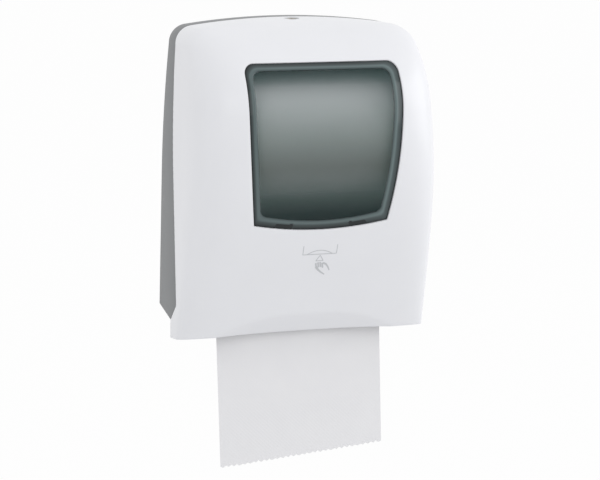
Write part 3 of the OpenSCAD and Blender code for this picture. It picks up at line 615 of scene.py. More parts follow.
@dataclass(frozen=True)
class WindowForm:
    """The window's outline seen from the front: leaning sides, round upper corners, a sagging lower edge."""

    axis: float = 235 * MM
    top_half: float = 89 * MM
    mid_half: float = 88 * MM
    low_half: float = 78.5 * MM
    up: float = 85 * MM
    down: float = 96 * MM
    sag: float = 8 * MM
    corner_r: float = 12 * MM
    steps: int = 44
    reach_most: float = 1.6

    @property
    def low(self) -> float:
        """Height of the lower corners."""
        return self.axis - self.down

    @property
    def high(self) -> float:
        """Height of the upper edge."""
        return self.axis + self.up

    @property
    def middle(self) -> float:
        """Height of the window's centre."""
        return (self.low + self.high) / 2

    def half(self, z: float) -> float:
        """Half width at a height: one smooth curve through its three widths."""
        a, b, c = self.low, self.axis, self.high
        return (self.low_half * (z - b) * (z - c) / ((a - b) * (a - c))
                + self.mid_half * (z - a) * (z - c) / ((b - a) * (b - c))
                + self.top_half * (z - a) * (z - b) / ((c - a) * (c - b)))

    def outline(self, inset: float = 0.0, more: float = 0.0, low_r: float = 0.6 * MM,
                top_r: float = 12 * MM) -> List[Pair]:
        """Points round the window, from the middle of its lower edge to the right and on round.

        Args:
            inset: How far the line is drawn in from the opening.
            more: How much further its sides and its lower edge are drawn in.
            low_r: Size of its lower corners.
            top_r: Radius of its upper corners.

        Returns:
            Pairs of x and height, always the same number of them.
        """
        low, high, n = self.low + inset + more, self.high - inset, self.steps
        wide = self.half(low) - inset - more

        def side(z: float) -> Pair:
            """A point of the side at a height."""
            return self.half(z) - inset - more, z

        def foot(x: float) -> Pair:
            """A point of the lower edge at a place across."""
            return x, low - self.sag * (1 - (x / wide) ** 2)

        right = [foot((wide - low_r) * i / n) for i in range(n)]
        right += self.corner(foot(wide - low_r), (wide, low), side(low + low_r))
        right += [side(low + low_r + (high - top_r - low - low_r) * i / n) for i in range(n)]
        upper = side(high)
        right += self.corner(side(high - top_r), upper, (upper[0] - top_r, high))
        right += [((upper[0] - top_r) * (1 - i / n), high) for i in range(n + 1)]
        return right + [(-x, z) for x, z in reversed(right[1:-1])]

    @staticmethod
    def corner(start: Pair, apex: Pair, end: Pair, steps: int = 12) -> List[Pair]:
        """Points of a round corner between two edges.

        Args:
            start: Where it leaves the first edge.
            apex: Where the edges would meet.
            end: Where it joins the second edge.
            steps: How many points.

        Returns:
            The points, without the last.
        """
        points = []
        for i in range(steps):
            t = i / steps
            a, b, c = (1 - t) ** 2, math.sqrt(2) * t * (1 - t), t * t
            points.append(tuple((a * p + b * q + c * r) / (a + b + c) for p, q, r in zip(start, apex, end)))
        return points

    def reach(self, x: float, z: float) -> Pair:
        """The place where a ray from the window's centre through a place crosses the outline."""
        up = z - self.middle
        share = bisect(lambda k: self.inside(x * k, self.middle + up * k), self.reach_most)
        return x * share, self.middle + up * share

    def inside(self, x: float, z: float) -> bool:
        """Whether a place lies within the outline."""
        x = abs(x)
        if z > self.high or x > self.half(z):
            return False
        if z < self.low - self.sag * max(0.0, 1 - (x / self.low_half) ** 2):
            return False
        turn = self.high - self.corner_r
        corner_x = self.half(turn) - self.corner_r
        return z <= turn or x <= corner_x or math.hypot(x - corner_x, z - turn) <= self.corner_r


def mesh_of(name: str, bm: BMesh) -> Mesh:
    """Turns a bmesh into a mesh and frees it."""
    mesh = bpy.data.meshes.new(name)
    bm.to_mesh(mesh)
    bm.free()
    return mesh


def add_object(name: str, data: bpy.types.ID) -> Object:
    """Puts a new object with its data into the scene."""
    thing = bpy.data.objects.new(name, data)
    bpy.context.scene.collection.objects.link(thing)
    return thing


def smooth(mesh: Mesh, sharp_deg: float) -> None:
    """Shades a mesh smooth, and leaves edges with a larger angle sharp."""
    mesh.shade_smooth()
    mesh.set_sharp_from_angle(angle=math.radians(sharp_deg))


def finish_piece(name: str, bm: BMesh, materials: Sequence[Material], sharp_deg: float = 35.0) -> Object:
    """Turns a bmesh into a smooth-shaded object at the origin.

    Args:
        name: The piece's name.
        bm: The mesh, which is freed.
        materials: Its materials in the order of their indices.
        sharp_deg: Edges with a larger angle stay sharp.

    Returns:
        The object.
    """
    mesh = mesh_of(name, bm)
    for material in materials:
        mesh.materials.append(material)
    smooth(mesh, sharp_deg)
    return add_object(name, mesh)


def settle(piece: Object, body: str, replaced: Sequence[str] = ()) -> Object:
    """Rides a finished piece on its body and what it stands for.

    Args:
        piece: The object.
        body: The CAD body that it moves with.
        replaced: CAD nodes that it stands for.

    Returns:
        The same object.
    """
    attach(piece, body)
    if replaced:
        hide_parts(*replaced)
    LOG.info("%s rides on %s, %d faces", piece.name, body, len(piece.data.polygons))
    return piece


def of_kind(geom: Sequence, kind: type) -> list:
    """The elements of one kind among those that a bmesh operator returns."""
    return [element for element in geom if isinstance(element, kind)]


def lay_grid(bm: BMesh, columns: int, rows: int) -> List[Tuple[BMVert, int, int]]:
    """Lays a flat grid and tells the column and the row of each of its points."""
    verts = bmesh.ops.create_grid(bm, x_segments=columns, y_segments=rows, size=1.0)["verts"]
    return [(v, round((v.co.x + 1) / 2 * columns), round((v.co.y + 1) / 2 * rows)) for v in verts]


def raise_faces(bm: BMesh, faces: Sequence[BMFace]) -> List[BMVert]:
    """Extrudes faces as one region and gives the new points."""
    return of_kind(bmesh.ops.extrude_face_region(bm, geom=list(faces))["geom"], BMVert)


def grow_ring(bm: BMesh, edges: Sequence[BMEdge], move: Callable[[BMVert], Vector],
              index: int = 0) -> List[BMEdge]:
    """Extrudes a loop of edges, moves the new ring and gives the strip between them a material.

    Args:
        bm: The mesh.
        edges: The loop.
        move: Gives a new vertex its place.
        index: Material of the strip.

    Returns:
        The edges of the new ring.
    """
    grown = bmesh.ops.extrude_edge_only(bm, edges=list(edges))["geom"]
    for vert in of_kind(grown, BMVert):
        vert.co = move(vert)
    for face in of_kind(grown, BMFace):
        face.material_index = index
    return of_kind(grown, BMEdge)


def spin_profile(bm: BMesh, points: Sequence[Vector], centre: Vector, axis: Triple, steps: int) -> None:
    """Turns a closed profile once round an axis.

    Args:
        bm: The mesh.
        points: The profile.
        centre: A point of the axis.
        axis: Its direction.
        steps: How many steps the turn has.
    """
    verts = [bm.verts.new(point) for point in points]
    edges = [bm.edges.new(pair) for pair in zip(verts, verts[1:] + verts[:1])]
    bmesh.ops.spin(bm, geom=verts + edges, cent=centre, axis=axis, angle=2 * math.pi, steps=steps,
                   use_merge=True)
    bmesh.ops.remove_doubles(bm, verts=bm.verts, dist=WELD)


def face_front(bm: BMesh) -> None:
    """Turns a skin so that its faces point away from the wall."""
    bmesh.ops.recalc_face_normals(bm, faces=bm.faces)
    if min(bm.faces, key=lambda f: f.calc_center_median().y).normal.y > 0:
        bmesh.ops.reverse_faces(bm, faces=bm.faces)


def sharp_edges(bm: BMesh, degrees: float) -> List[BMEdge]:
    """The edges whose two faces meet at more than an angle."""
    return [e for e in bm.edges if e.is_manifold and e.calc_face_angle(0.0) > math.radians(degrees)]


def bevel(bm: BMesh, edges: Sequence[BMEdge], offset: float, segments: int) -> None:
    """Rounds edges."""
    bmesh.ops.bevel(bm, geom=list(edges), offset=offset, offset_type="OFFSET", segments=segments, profile=0.5,
                    affect="EDGES", clamp_overlap=True, material=-1)


def carve(piece: Object, holes: Sequence[Hole], segments: int = 48) -> None:
    """Cuts round holes through a piece.

    Args:
        piece: The object, at the origin.
        holes: Centre, direction, length and radius of each hole.
        segments: How many sides a hole has.
    """
    bm = bmesh.new()
    for centre, direction, length, radius in holes:
        turn = direction.to_track_quat("Z", "Y").to_matrix().to_4x4()
        turn.translation = centre
        bmesh.ops.create_cone(bm, cap_ends=True, segments=segments, radius1=radius, radius2=radius,
                              depth=length, matrix=turn)
    mesh = mesh_of("hole_cutter", bm)
    cutter = add_object("hole_cutter", mesh)
    cut = piece.modifiers.new("holes", "BOOLEAN")
    cut.operation, cut.solver, cut.object = "DIFFERENCE", "EXACT", cutter
    bpy.context.view_layer.update()
    carved = bpy.data.meshes.new_from_object(piece.evaluated_get(bpy.context.evaluated_depsgraph_get()))
    piece.modifiers.clear()
    whole, piece.data = piece.data, carved
    carved.name = piece.name
    bpy.data.meshes.remove(whole)
    bpy.data.objects.remove(cutter)
    bpy.data.meshes.remove(mesh)


@dataclass
class FrontCover:
    """The white bulging cover with its window opening, finger scoop and rolled edges."""

    casing: Casing
    window: WindowForm
    finishes: Finishes
    half_columns: int = 84
    row_count: int = 170
    margin: float = 7 * MM
    rings: int = 5
    weld: float = 0.08 * MM
    sliver: float = 0.02 * MM
    edge_round: float = 0.7 * MM
    edge_deg: float = 50.0
    top_kept: float = 1.2 * MM
    lock_room: float = 20 * MM
    lock_r: float = 9 * MM
    lock_bore: float = 40 * MM

    def build(self) -> Object:
        """Builds the cover and rides it on its body."""
        bm = bmesh.new()
        heights = self.casing.rows(self.row_count)
        self.lay_skin(bm, heights)
        self.open_window(bm, heights)
        bmesh.ops.remove_doubles(bm, verts=bm.verts, dist=self.weld)
        bmesh.ops.dissolve_degenerate(bm, edges=bm.edges, dist=self.sliver)
        face_front(bm)
        bmesh.ops.solidify(bm, geom=bm.faces[:], thickness=self.casing.wall)
        self.round_rims(bm)
        piece = finish_piece("cover_shell", bm, [self.finishes.white_abs])
        lock = self.casing.at(0.0, self.casing.seam_top + self.lock_room, self.casing.height)
        carve(piece, [(lock, Vector((0.0, 0.0, 1.0)), self.lock_bore, self.lock_r)])
        return settle(piece, "cover", ["front_cover"])

    def lay_skin(self, bm: BMesh, heights: Sequence[float]) -> None:
        """Lays a grid over the casing's face, from seam to seam and from lip to top."""
        casing, columns = self.casing, 2 * self.half_columns
        self.column, self.row, self.place = (bm.verts.layers.int.new(n) for n in ("column", "row", "place"))
        self.sections = [casing.half_row(z, self.half_columns) for z in heights]
        for vert, i, j in lay_grid(bm, columns, self.row_count):
            side = 1 if i >= self.half_columns else -1
            x, depth = self.sections[j][columns - i if side > 0 else i]
            vert[self.column], vert[self.row] = i, j
            vert.co = casing.at(side * x, depth, heights[j] - casing.heel(x, depth, heights[j]))

    def open_window(self, bm: BMesh, heights: Sequence[float]) -> None:
        """Cuts a block of cells out of the grid and draws its edge in to the window's outline."""
        form, casing = self.window, self.casing
        low = max(j for j, z in enumerate(heights) if z < form.low - form.sag - self.margin)
        high = min(j for j, z in enumerate(heights) if z > form.high + self.margin)
        wide = form.top_half + self.margin
        left = min(sum(x > wide for x, _ in self.sections[j]) for j in range(low, high + 1)) - 1
        right = 2 * self.half_columns - left
        block = [f for f in bm.faces if all(left <= v[self.column] <= right and low <= v[self.row] <= high
                                            for v in f.verts)]
        rim = {e for f in block for e in f.edges if any(g not in block for g in e.link_faces)}
        bmesh.ops.delete(bm, geom=block, context="FACES")
        edges = [e for e in rim if e.is_valid]
        around = list({v for e in edges for v in e.verts})
        starts = [(v.co.x, v.co.z - casing.lowest) for v in around]
        goals = [form.reach(*start) for start in starts]
        for side in Side:
            corner = (side.value * form.low_half, form.low)
            nearest = min(range(len(goals)), key=lambda k: math.dist(goals[k], corner))
            goals[nearest] = corner
        for k, vert in enumerate(around):
            vert[self.place] = k
        for ring in range(1, self.rings + 1):
            share = ring / self.rings

            def draw_in(vert: BMVert) -> Vector:
                """Moves a point of the block's edge towards the outline."""
                (x0, z0), (x1, z1) = starts[vert[self.place]], goals[vert[self.place]]
                return casing.on_face(x0 + (x1 - x0) * share, z0 + (z1 - z0) * share)

            edges = grow_ring(bm, edges, draw_in)

    def round_rims(self, bm: BMesh) -> None:
        """Rounds the edges of the lip, the seam and the window, but not the last millimetres of the top."""
        top = self.casing.lowest + self.casing.height - self.top_kept
        rims = [e for e in sharp_edges(bm, self.edge_deg) if all(v.co.z < top for v in e.verts)]
        bevel(bm, rims, self.edge_round, 2)


class PaneZone(Enum):
    """The zones of the pane, as indices of its materials."""

    CLEAR = 0
    RIM = 1
    EDGE = 2


@dataclass(frozen=True)
class RimLine:
    """One line of the pane's rim: how far in it runs, how proud it stands and how pale its painted light
    makes it, from painted shade at 0 to a painted highlight at 1.
    """

    inset: float
    proud: float
    tone: float
    zone: PaneZone
    drawn: float = 0.0
    low_r: float = 0.6 * MM
    top_r: float = 12 * MM


@dataclass
class WindowPane:
    """The smoked pane: a flange behind the cover, a slope in painted shade, a crest with a painted highlight
    and a clear middle.
    """

    casing: Casing
    window: WindowForm
    finishes: Finishes
    gap: float = 0.3 * MM
    lap: float = 6 * MM
    slope: float = 4.2 * MM
    crest: float = 6.0 * MM
    crest_half: float = 0.9 * MM
    crest_proud: float = 0.35 * MM
    foot: float = 8.0 * MM
    more: float = 3.0 * MM
    left_less: float = 4.5 * MM
    # Painted light of the rim's sides: one even painted light on the left's inner lines, a painted highlight
    # added towards the right.
    left_tone: float = 0.6
    right_glow: float = 0.2
    step: float = 1.2 * MM
    thickness: float = 1.6 * MM
    rings: int = 14
    catch_in: float = 33 * MM
    catch_out: float = 53 * MM
    catch_up: float = 0.8 * MM
    sharp_deg: float = 50.0

    def rim_lines(self) -> List[RimLine]:
        """The lines of the rim from the flange inwards."""
        back, face = -(self.casing.wall + self.gap), -self.casing.pane_set
        rim, edge = PaneZone.RIM, PaneZone.EDGE
        near, side = self.crest_half, face + self.crest_proud / 4
        # Each line's third value is its painted light: painted shade on the edge lines, a painted highlight
        # on the crest.
        return [
            RimLine(self.gap, back, 0.0, edge),
            RimLine(self.gap, face - 1.4 * MM, 0.0, edge),
            RimLine(self.gap + 0.5 * MM, face - 1.0 * MM, 0.0, edge, 0.0, 0.9 * MM),
            RimLine(self.slope * 0.4, face - 0.8 * MM, 0.06, rim, 0.2, 1.5 * MM),
            RimLine(self.slope, face - 0.35 * MM, 0.30, rim, 0.6, 3.0 * MM, 11 * MM),
            RimLine(self.crest - near, side, 0.66, rim, 0.8, 4.0 * MM, 10 * MM),
            RimLine(self.crest, face + self.crest_proud, 0.78, rim, 0.9, 4.5 * MM, 10 * MM),
            RimLine(self.crest + near, side, 0.62, rim, 1.0, 5.0 * MM, 10 * MM),
            RimLine(self.foot, face - self.step / 2, 0.35, rim, 1.0, 5.5 * MM, 9 * MM),
            RimLine(self.foot + 0.6 * MM, face - self.step, 0.16, rim, 1.0, 6.0 * MM, 9 * MM),
        ]

    def build(self) -> Object:
        """Builds the pane and rides it on the cover."""
        bm = bmesh.new()
        self.place = bm.verts.layers.int.new("place")
        self.tone = bm.verts.layers.float.new(RIM_PAINTED_LIGHT)
        flange = self.window.outline(-self.lap)
        loop = bmesh.ops.create_circle(bm, segments=len(flange), radius=1.0)["verts"]
        for k, (vert, place) in enumerate(zip(loop, flange)):
            vert[self.place] = k
            vert.co = self.casing.on_face(*place, -(self.casing.wall + self.gap))
        self.fill(bm, self.raise_rim(bm))
        # Painted shade on two places of the lower rim, where the catches sit behind it.
        self.mark_catches(bm)
        face_front(bm)
        bmesh.ops.solidify(bm, geom=bm.faces[:], thickness=self.thickness)
        finishes = self.finishes
        materials = [finishes.smoked_pane, finishes.smoked_rim, finishes.smoked_edge]
        piece = finish_piece("smoked_pane_shell", bm, materials, self.sharp_deg)
        return settle(piece, "cover", ["window_pane"])

    def raise_rim(self, bm: BMesh) -> List[BMEdge]:
        """Grows the rim line by line from the flange, and gives the edges of its last line."""
        edges = bm.edges[:]
        for rim in self.rim_lines():
            line = self.window.outline(rim.inset, self.more * rim.drawn, rim.low_r, rim.top_r)

            def lay(vert: BMVert) -> Vector:
                """Lays a point on the rim's line, nearer the edge at the left, and marks its painted light: a
                painted highlight growing to the right, one even painted light on the inner lines at the left.
                """
                x, z = line[vert[self.place]]
                share = x / self.window.half(z)
                left, right = max(0.0, -share), max(0.0, share)
                # Painted highlight towards the right, and at the left the inner lines drawn to one even
                # painted light.
                pale = rim.tone + (self.right_glow * right ** 4 if rim.tone else 0.0)
                vert[self.tone] = min(1.0, pale + (self.left_tone - pale) * rim.drawn ** 3 * left ** 4)
                return self.casing.on_face(x - self.left_less * rim.drawn * left ** 3, z, rim.proud)

            edges = grow_ring(bm, edges, lay, rim.zone.value)
        self.inner = line
        return edges

    def fill(self, bm: BMesh, edges: Sequence[BMEdge]) -> None:
        """Fills the clear middle with rings that shrink to the window's centre."""
        middle, sunk = self.window.middle, -self.casing.pane_set - self.step
        for ring in range(1, self.rings):
            share = 1 - ring / self.rings

            def shrink(vert: BMVert) -> Vector:
                """Draws a point of the rim's last line in towards the centre."""
                x, z = self.inner[vert[self.place]]
                return self.casing.on_face(x * share, middle + (z - middle) * share, sunk)

            edges = grow_ring(bm, edges, shrink, PaneZone.CLEAR.value)
        bmesh.ops.contextual_create(bm, geom=edges)

    def mark_catches(self, bm: BMesh) -> None:
        """Paints shade, with the edge's dark material, on the two places of the lower rim where the cover's
        catches sit behind it.
        """
        for face in bm.faces:
            centre = face.calc_center_median()
            across, z = abs(centre.x), centre.z - self.casing.lowest
            if (self.catch_in < across < self.catch_out and z < self.window.low + self.catch_up
                    and face.material_index == PaneZone.RIM.value):
                face.material_index = PaneZone.EDGE.value


@dataclass
class BackHousing:
    """The grey back housing: a shallow tray with a slanting seam, a pointed lower tip and two hinge ears."""

    casing: Casing
    finishes: Finishes
    outline_steps: int = 40
    corner_steps: int = 14
    spare: float = 4 * MM
    trim_close: float = 1e-7
    flat_deg: float = 0.05
    front_facing: float = -0.3
    wall_facing: float = 0.99
    edge_round: float = 1.0 * MM
    edge_deg: float = 38.0
    sharp_deg: float = 30.0
    screw_r: float = 3.25 * MM
    screw_across: float = 200 * MM
    screw_up: float = 180 * MM
    screw_bore: float = 12 * MM
    hinge_out: float = 4 * MM
    hinge_drop: float = 8 * MM
    hinge_bore: float = 3.1 * MM
    ear_r: float = 7 * MM
    ear_in: float = 118 * MM
    ear_t: float = 6 * MM
    ear_root: float = 22 * MM
    ear_bite: float = 2.1 * MM
    ear_steps: int = 40
    back_rim: float = 11 * MM
    relief: float = 0.8 * MM
    fitting_deep: float = 1.2 * MM
    fitting_shy: float = 0.05 * MM
    pad_r: float = 12 * MM
    pad_steps: int = 48
    rib_w: float = 3 * MM
    rib_round: float = 0.3 * MM

    def build(self) -> Object:
        """Builds the housing and rides it on its body."""
        bm = bmesh.new()
        self.raise_block(bm)
        self.trim_block(bm)
        self.hollow(bm)
        bmesh.ops.recalc_face_normals(bm, faces=bm.faces)
        bevel(bm, sharp_edges(bm, self.edge_deg), self.edge_round, 3)
        self.sink_back(bm)
        piece = finish_piece("housing_tray", bm, [self.finishes.grey_abs], self.sharp_deg)
        carve(piece, self.holes())
        self.add_fittings(piece)
        return settle(piece, "housing", ["back_housing"])

    @property
    def hinge(self) -> Pair:
        """Depth and height of the hinge axis."""
        return self.casing.tip_depth + self.hinge_out, self.casing.tip_z - self.hinge_drop

    @property
    def floor_slope(self) -> float:
        """Fall of the underside for each metre of depth."""
        return (self.casing.back_low - self.casing.tip_z) / self.casing.tip_depth

    def holes(self) -> List[Hole]:
        """The four wall holes: centre, direction, length and radius."""
        out, middle = Vector((0.0, 1.0, 0.0)), -self.casing.wall / 2
        return [(Vector((i.value * self.screw_across / 2, middle, j.value * self.screw_up / 2)), out,
                 self.screw_bore, self.screw_r) for i in Side for j in Side]

    def outline(self) -> List[Pair]:
        """Points round the housing seen from the front, from the lower right corner anticlockwise."""
        form, n, turns = self.casing, self.outline_steps, self.corner_steps
        right = [(form.side_half(form.corner_z * i / n), form.corner_z * i / n) for i in range(n)]
        right += [(form.corner_x + form.corner_r * math.cos(form.corner_end * i / turns),
                   form.corner_z + form.corner_r * math.sin(form.corner_end * i / turns))
                  for i in range(turns)]
        right += [(form.crown_half * (1 - i / n), form.height - form.crown * (1 - i / n) ** 2)
                  for i in range(n + 1)]
        return right + [(-x, z) for x, z in reversed(right[:-1])]

    def raise_block(self, bm: BMesh) -> None:
        """Raises a block from the wall over the housing's outline."""
        outline = self.outline()
        loop = bmesh.ops.create_circle(bm, segments=len(outline), radius=1.0, cap_ends=True)["verts"]
        for vert, (x, z) in zip(loop, outline):
            vert.co = self.casing.at(x, 0.0, z)
        raised = raise_faces(bm, bm.faces)
        bmesh.ops.translate(bm, verts=raised, vec=(0.0, -self.casing.seam_low - self.spare, 0.0))
        bmesh.ops.recalc_face_normals(bm, faces=bm.faces)

    def trim_block(self, bm: BMesh) -> None:
        """Trims the block along the seam, the lower tip and the slanting underside."""
        form = self.casing
        corners = [(form.seam_top, form.height), (form.seam_low, form.seam_low_z),
                   (form.tip_depth, form.tip_z), (0.0, form.back_low)]
        points = [form.at(0.0, depth, z) for depth, z in corners]
        within = form.at(0.0, form.seam_top / 2, form.height / 2)
        for start, end in zip(points, points[1:]):
            normal = (end - start).cross(Vector((1.0, 0.0, 0.0)))
            if normal.dot(within - start) > 0:
                normal.negate()
            cut = bmesh.ops.bisect_plane(bm, geom=bm.verts[:] + bm.edges[:] + bm.faces[:], plane_co=start,
                                         plane_no=normal, clear_outer=True, dist=self.trim_close)
            bmesh.ops.edgeloop_fill(bm, edges=of_kind(cut["geom_cut"], BMEdge))
        bmesh.ops.dissolve_limit(bm, angle_limit=math.radians(self.flat_deg), verts=bm.verts, edges=bm.edges)

    def hollow(self, bm: BMesh) -> None:
        """Sinks the tray from its slanting front, leaving its walls, its back and its floor."""
        form = self.casing
        bmesh.ops.recalc_face_normals(bm, faces=bm.faces)
        fronts = [f for f in bm.faces if f.normal.y < self.front_facing]
        bmesh.ops.inset_region(bm, faces=fronts, thickness=form.wall, use_even_offset=True)
        sunk = raise_faces(bm, fronts)
        bmesh.ops.delete(bm, geom=[f for f in fronts if f.is_valid], context="FACES_ONLY")
        floor = form.back_low - self.floor_slope * form.wall + form.wall * math.hypot(1, self.floor_slope)
        for vert in sunk:
            z = vert.co.z - form.lowest
            vert.co = form.at(vert.co.x, form.wall, z if z > form.seam_low_z - form.wall else floor)

    def sink_back(self, bm: BMesh) -> None:
        """Sinks a shallow panel into the back, so that a rim, ribs and screw pads meet the wall."""
        back = [f for f in bm.faces
                if f.normal.y > self.wall_facing and f.calc_center_median().y > -self.casing.wall / 2]
        bmesh.ops.inset_region(bm, faces=back, thickness=self.back_rim)
        bmesh.ops.inset_region(bm, faces=back, thickness=self.relief, depth=-self.relief)

    def add_fittings(self, piece: Object) -> None:
        """Stands the hinge ears under the floor, and the round screw pads and ribs in the sunk back.

        Args:
            piece: The housing, with its holes.
        """
        form, deep, shy = self.casing, self.fitting_deep, self.fitting_shy
        bm = bmesh.new()
        for side in Side:
            self.add_ear(bm, side)
        for centre, _, _, bore in self.holes():
            ring = [(bore, shy), (self.pad_r - self.relief, shy), (self.pad_r, deep), (bore, deep)]
            points = [Vector((centre.x + out, -into, centre.z)) for out, into in ring]
            spin_profile(bm, points, centre, (0.0, 1.0, 0.0), self.pad_steps)
        low, high = form.back_low + self.back_rim, form.corner_z
        middle = form.at(0.0, deep / 2 + shy, (low + high) / 2)
        for across in (-self.screw_across / 4, 0.0, self.screw_across / 4):
            self.add_rib(bm, middle + Vector((across, 0.0, 0.0)), (self.rib_w, deep, high - low))
        span = self.screw_across - 2 * (self.pad_r - self.relief)
        for up in Side:
            place = Vector((0.0, middle.y, up.value * self.screw_up / 2))
            self.add_rib(bm, place, (span, deep, self.rib_w))
        bmesh.ops.recalc_face_normals(bm, faces=bm.faces)
        bm.from_mesh(piece.data)
        bm.to_mesh(piece.data)
        bm.free()
        smooth(piece.data, self.sharp_deg)

    def add_rib(self, bm: BMesh, centre: Vector, size: Triple) -> None:
        """Adds a rib with bevelled edges.

        Args:
            bm: The mesh.
            centre: Its middle.
            size: Its three lengths.
        """
        place = Matrix.LocRotScale(centre, None, Vector(size))
        verts = bmesh.ops.create_cube(bm, size=1.0, matrix=place)["verts"]
        bevel(bm, {e for v in verts for e in v.link_edges}, self.rib_round, 1)

    def add_ear(self, bm: BMesh, side: Side) -> None:
        """Adds the hinge ear of one side: a bored eye on a short web from the floor.

        Args:
            bm: The mesh.
            side: Which side.
        """
        form, (hinge_depth, hinge_z), quarter = self.casing, self.hinge, math.pi / 2
        root = form.tip_depth - self.ear_root
        inner = self.ear_in if side is Side.RIGHT else -self.ear_in - self.ear_t
        eye, bore = (bmesh.ops.create_circle(bm, segments=self.ear_steps, radius=1.0)["verts"]
                     for _ in range(2))
        for i, (vert, hole) in enumerate(zip(eye, bore)):
            angle = 2 * math.pi * i / self.ear_steps
            across, up = math.cos(angle), math.sin(angle)
            depth, z = hinge_depth + self.ear_r * across, hinge_z + self.ear_r * up
            if quarter < angle < 2 * quarter:
                share = angle / quarter - 1
                depth = hinge_depth * (1 - share) + root * share
                z = form.back_low - self.floor_slope * depth + self.ear_bite
            vert.co = form.at(inner, depth, z)
            hole.co = form.at(inner, hinge_depth + self.hinge_bore * across, hinge_z + self.hinge_bore * up)
        edges = list({e for v in eye + bore for e in v.link_edges})
        raised = raise_faces(bm, bmesh.ops.bridge_loops(bm, edges=edges)["faces"])
        bmesh.ops.translate(bm, verts=raised, vec=(self.ear_t, 0.0, 0.0))


